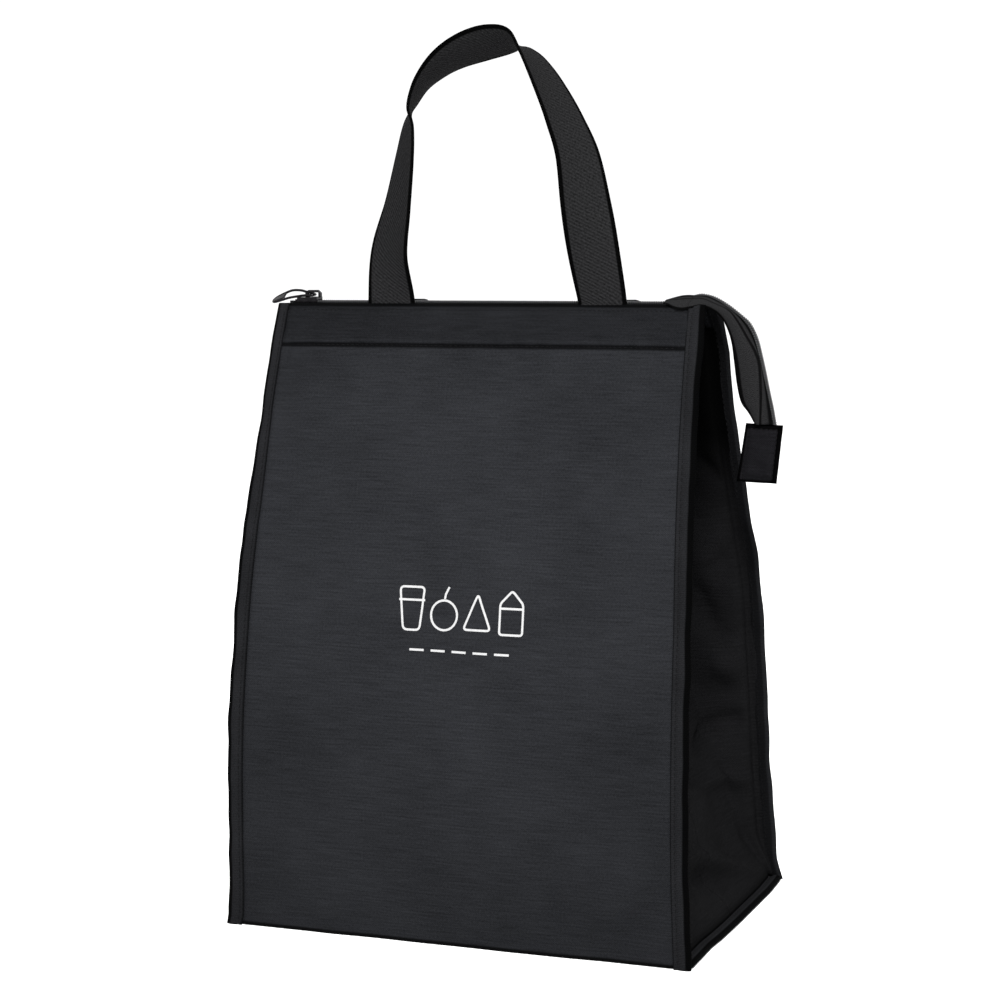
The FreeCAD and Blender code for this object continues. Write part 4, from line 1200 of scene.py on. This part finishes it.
def make_print(on_wall):
    """Four plain line drawings, cup, fruit, wedge and carton, over five dashes."""
    line = 1.1
    around = np.arange(28) * 2 * math.pi / 28
    drawings = [
        (-27.5, rounded([(-4.6, -11), (4.6, -11), (6.9, 11), (-6.9, 11)], 2.4), True),
        (-27.5, [(-7.3, 4.4), (7.3, 4.4)], False),
        (-9.2, [(7.4 * math.sin(a), -2.8 + 7.6 * math.cos(a)) for a in around], True),
        (-9.2, [(0.2, 5.6), (0.6, 8.0), (2.4, 11.6)], False),
        (9.6, rounded([(-7.6, -9.4), (7.6, -9.4), (0, 8.8)], 2.2), True),
        (28.4, rounded([(-6.3, -11), (6.3, -11), (6.3, 4.6), (0, 11.2), (-6.3, 4.6)], 1.6), True),
        (28.4, [(-6.0, 2.2), (6.0, 2.2)], False),
    ]
    for number in range(5):
        drawings.append((-24 + 12 * number, [(-4, -21.1), (4, -21.1)], False))
    points, faces, lay = [], [], []
    for shift, corners, closed in drawings:
        strip = line_strip(refine(corners, closed), line, closed)
        left, right = (edge + (PRINT_X + shift, PRINT_Z) for edge in strip)
        outline = ((left, 0.28), (right, 0.28), (right, 0.02), (left, 0.02))
        faces += ring_faces(len(left), 4, len(points), closed)
        points += list(np.stack([on_wall(*edge.T, lift) for edge, lift in outline], 1).reshape(-1, 3))
        lay += list(np.stack([grid(*edge.T, 0.0) for edge, _ in outline], 1).reshape(-1, 3))
    made = outwards(mesh_object("front_print", points, faces, PRINT, lay))
    made.data.polygons.foreach_set("use_smooth", [False] * len(made.data.polygons))
    settle(made, "white_print", "front_wall", ("front_emblem",))


# ---------------------------------------------------------------- metal parts


# The puller from its crossbar outwards: half width, how much it is turned over, height change.
PULLER = (
    (-0.3, 0.0, 0, 0.0), (0.0, 1.6, 0, 0.0), (1.2, 2.1, 6, 0.1), (5.0, 2.2, 20, 0.5),
    (9.0, 2.7, 32, 0.7), (14.0, 3.1, 36, 0.3), (18.0, 3.1, 34, -0.9), (22.0, 2.8, 30, -2.3),
    (24.0, 1.9, 26, -3.0), (24.7, 0.0, 24, -3.2),
)
PULLER_PIVOT = (-103.5, 333.9)


def make_puller():
    """A bent wire loop through the bail, closed by a small plate at its outer end."""
    reach, half, turn, drop = smooth_curve(PULLER, spacing=0.6).T
    turn = np.radians(turn)
    pivot_x, pivot_z = PULLER_PIVOT
    wire_radius, plate_start = 0.72, 17.5
    x = pivot_x + 0.3 - reach
    above, below = (
        grid(x, edge * np.cos(turn), pivot_z + drop + edge * np.sin(turn)) for edge in (half, -half)
    )
    loop = np.vstack([above, below[-2:0:-1]])
    run = unit(np.roll(loop, -1, 0) - np.roll(loop, 1, 0))
    side = unit(np.cross(run, (0.0, 0.3, 1.0)))
    rings = wire(loop, side, np.cross(run, side), wire_radius, 8)
    made = tube("zip_puller_loop", rings, METAL, looped=True)
    settle(made, "zip_metal", "puller", ("zip_puller",))
    outer_end = reach > plate_start
    across = np.linspace(0.08, 0.92, 5)[:, None]
    middle = above[outer_end][:, None] * (1 - across) + below[outer_end][:, None] * across
    lift = np.array([0.0, -0.3, 0.4])
    plate = closed_shell("zip_puller_plate", middle + lift, middle - lift, middle, METAL)
    settle(plate, "zip_metal", "puller")


def finish_metal():
    """The slider and the stops keep their shape and get rounded edges and plating."""
    for name in ("zip_slider", "zip_stop_front", "zip_stop_back"):
        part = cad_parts[name]
        part.data.materials.clear()
        part.data.materials.append(METAL)
        bevel = part.modifiers.new("rounded", "BEVEL")
        bevel.width, bevel.segments = 0.00028, 3
        bevel.limit_method, bevel.angle_limit = "ANGLE", math.radians(30)
        for polygon in part.data.polygons:
            polygon.use_smooth = False


def make_floor():
    made = mesh_object(
        "floor",
        [(-6000, -6000, 0), (6000, -6000, 0), (6000, 6000, 0), (-6000, 6000, 0)],
        [(0, 1, 2, 3)],
        pale_floor("floor_white"),
    )


make_camera()
make_studio()
make_floor()
for wall in (FRONT, BACK):
    surface = make_wall(wall)
    if wall == FRONT:
        make_print(surface)
    make_lining(wall)
    for side in (RIGHT, LEFT):
        make_side_binding(wall, side)
        make_gusset(wall, side)
    make_bag_tape(wall)
    make_flap(wall)
    for tail in (False, True):
        make_coil(wall, tail)
make_base()
make_tab()
make_front_handle()
make_back_handle()
make_puller()
finish_metal()
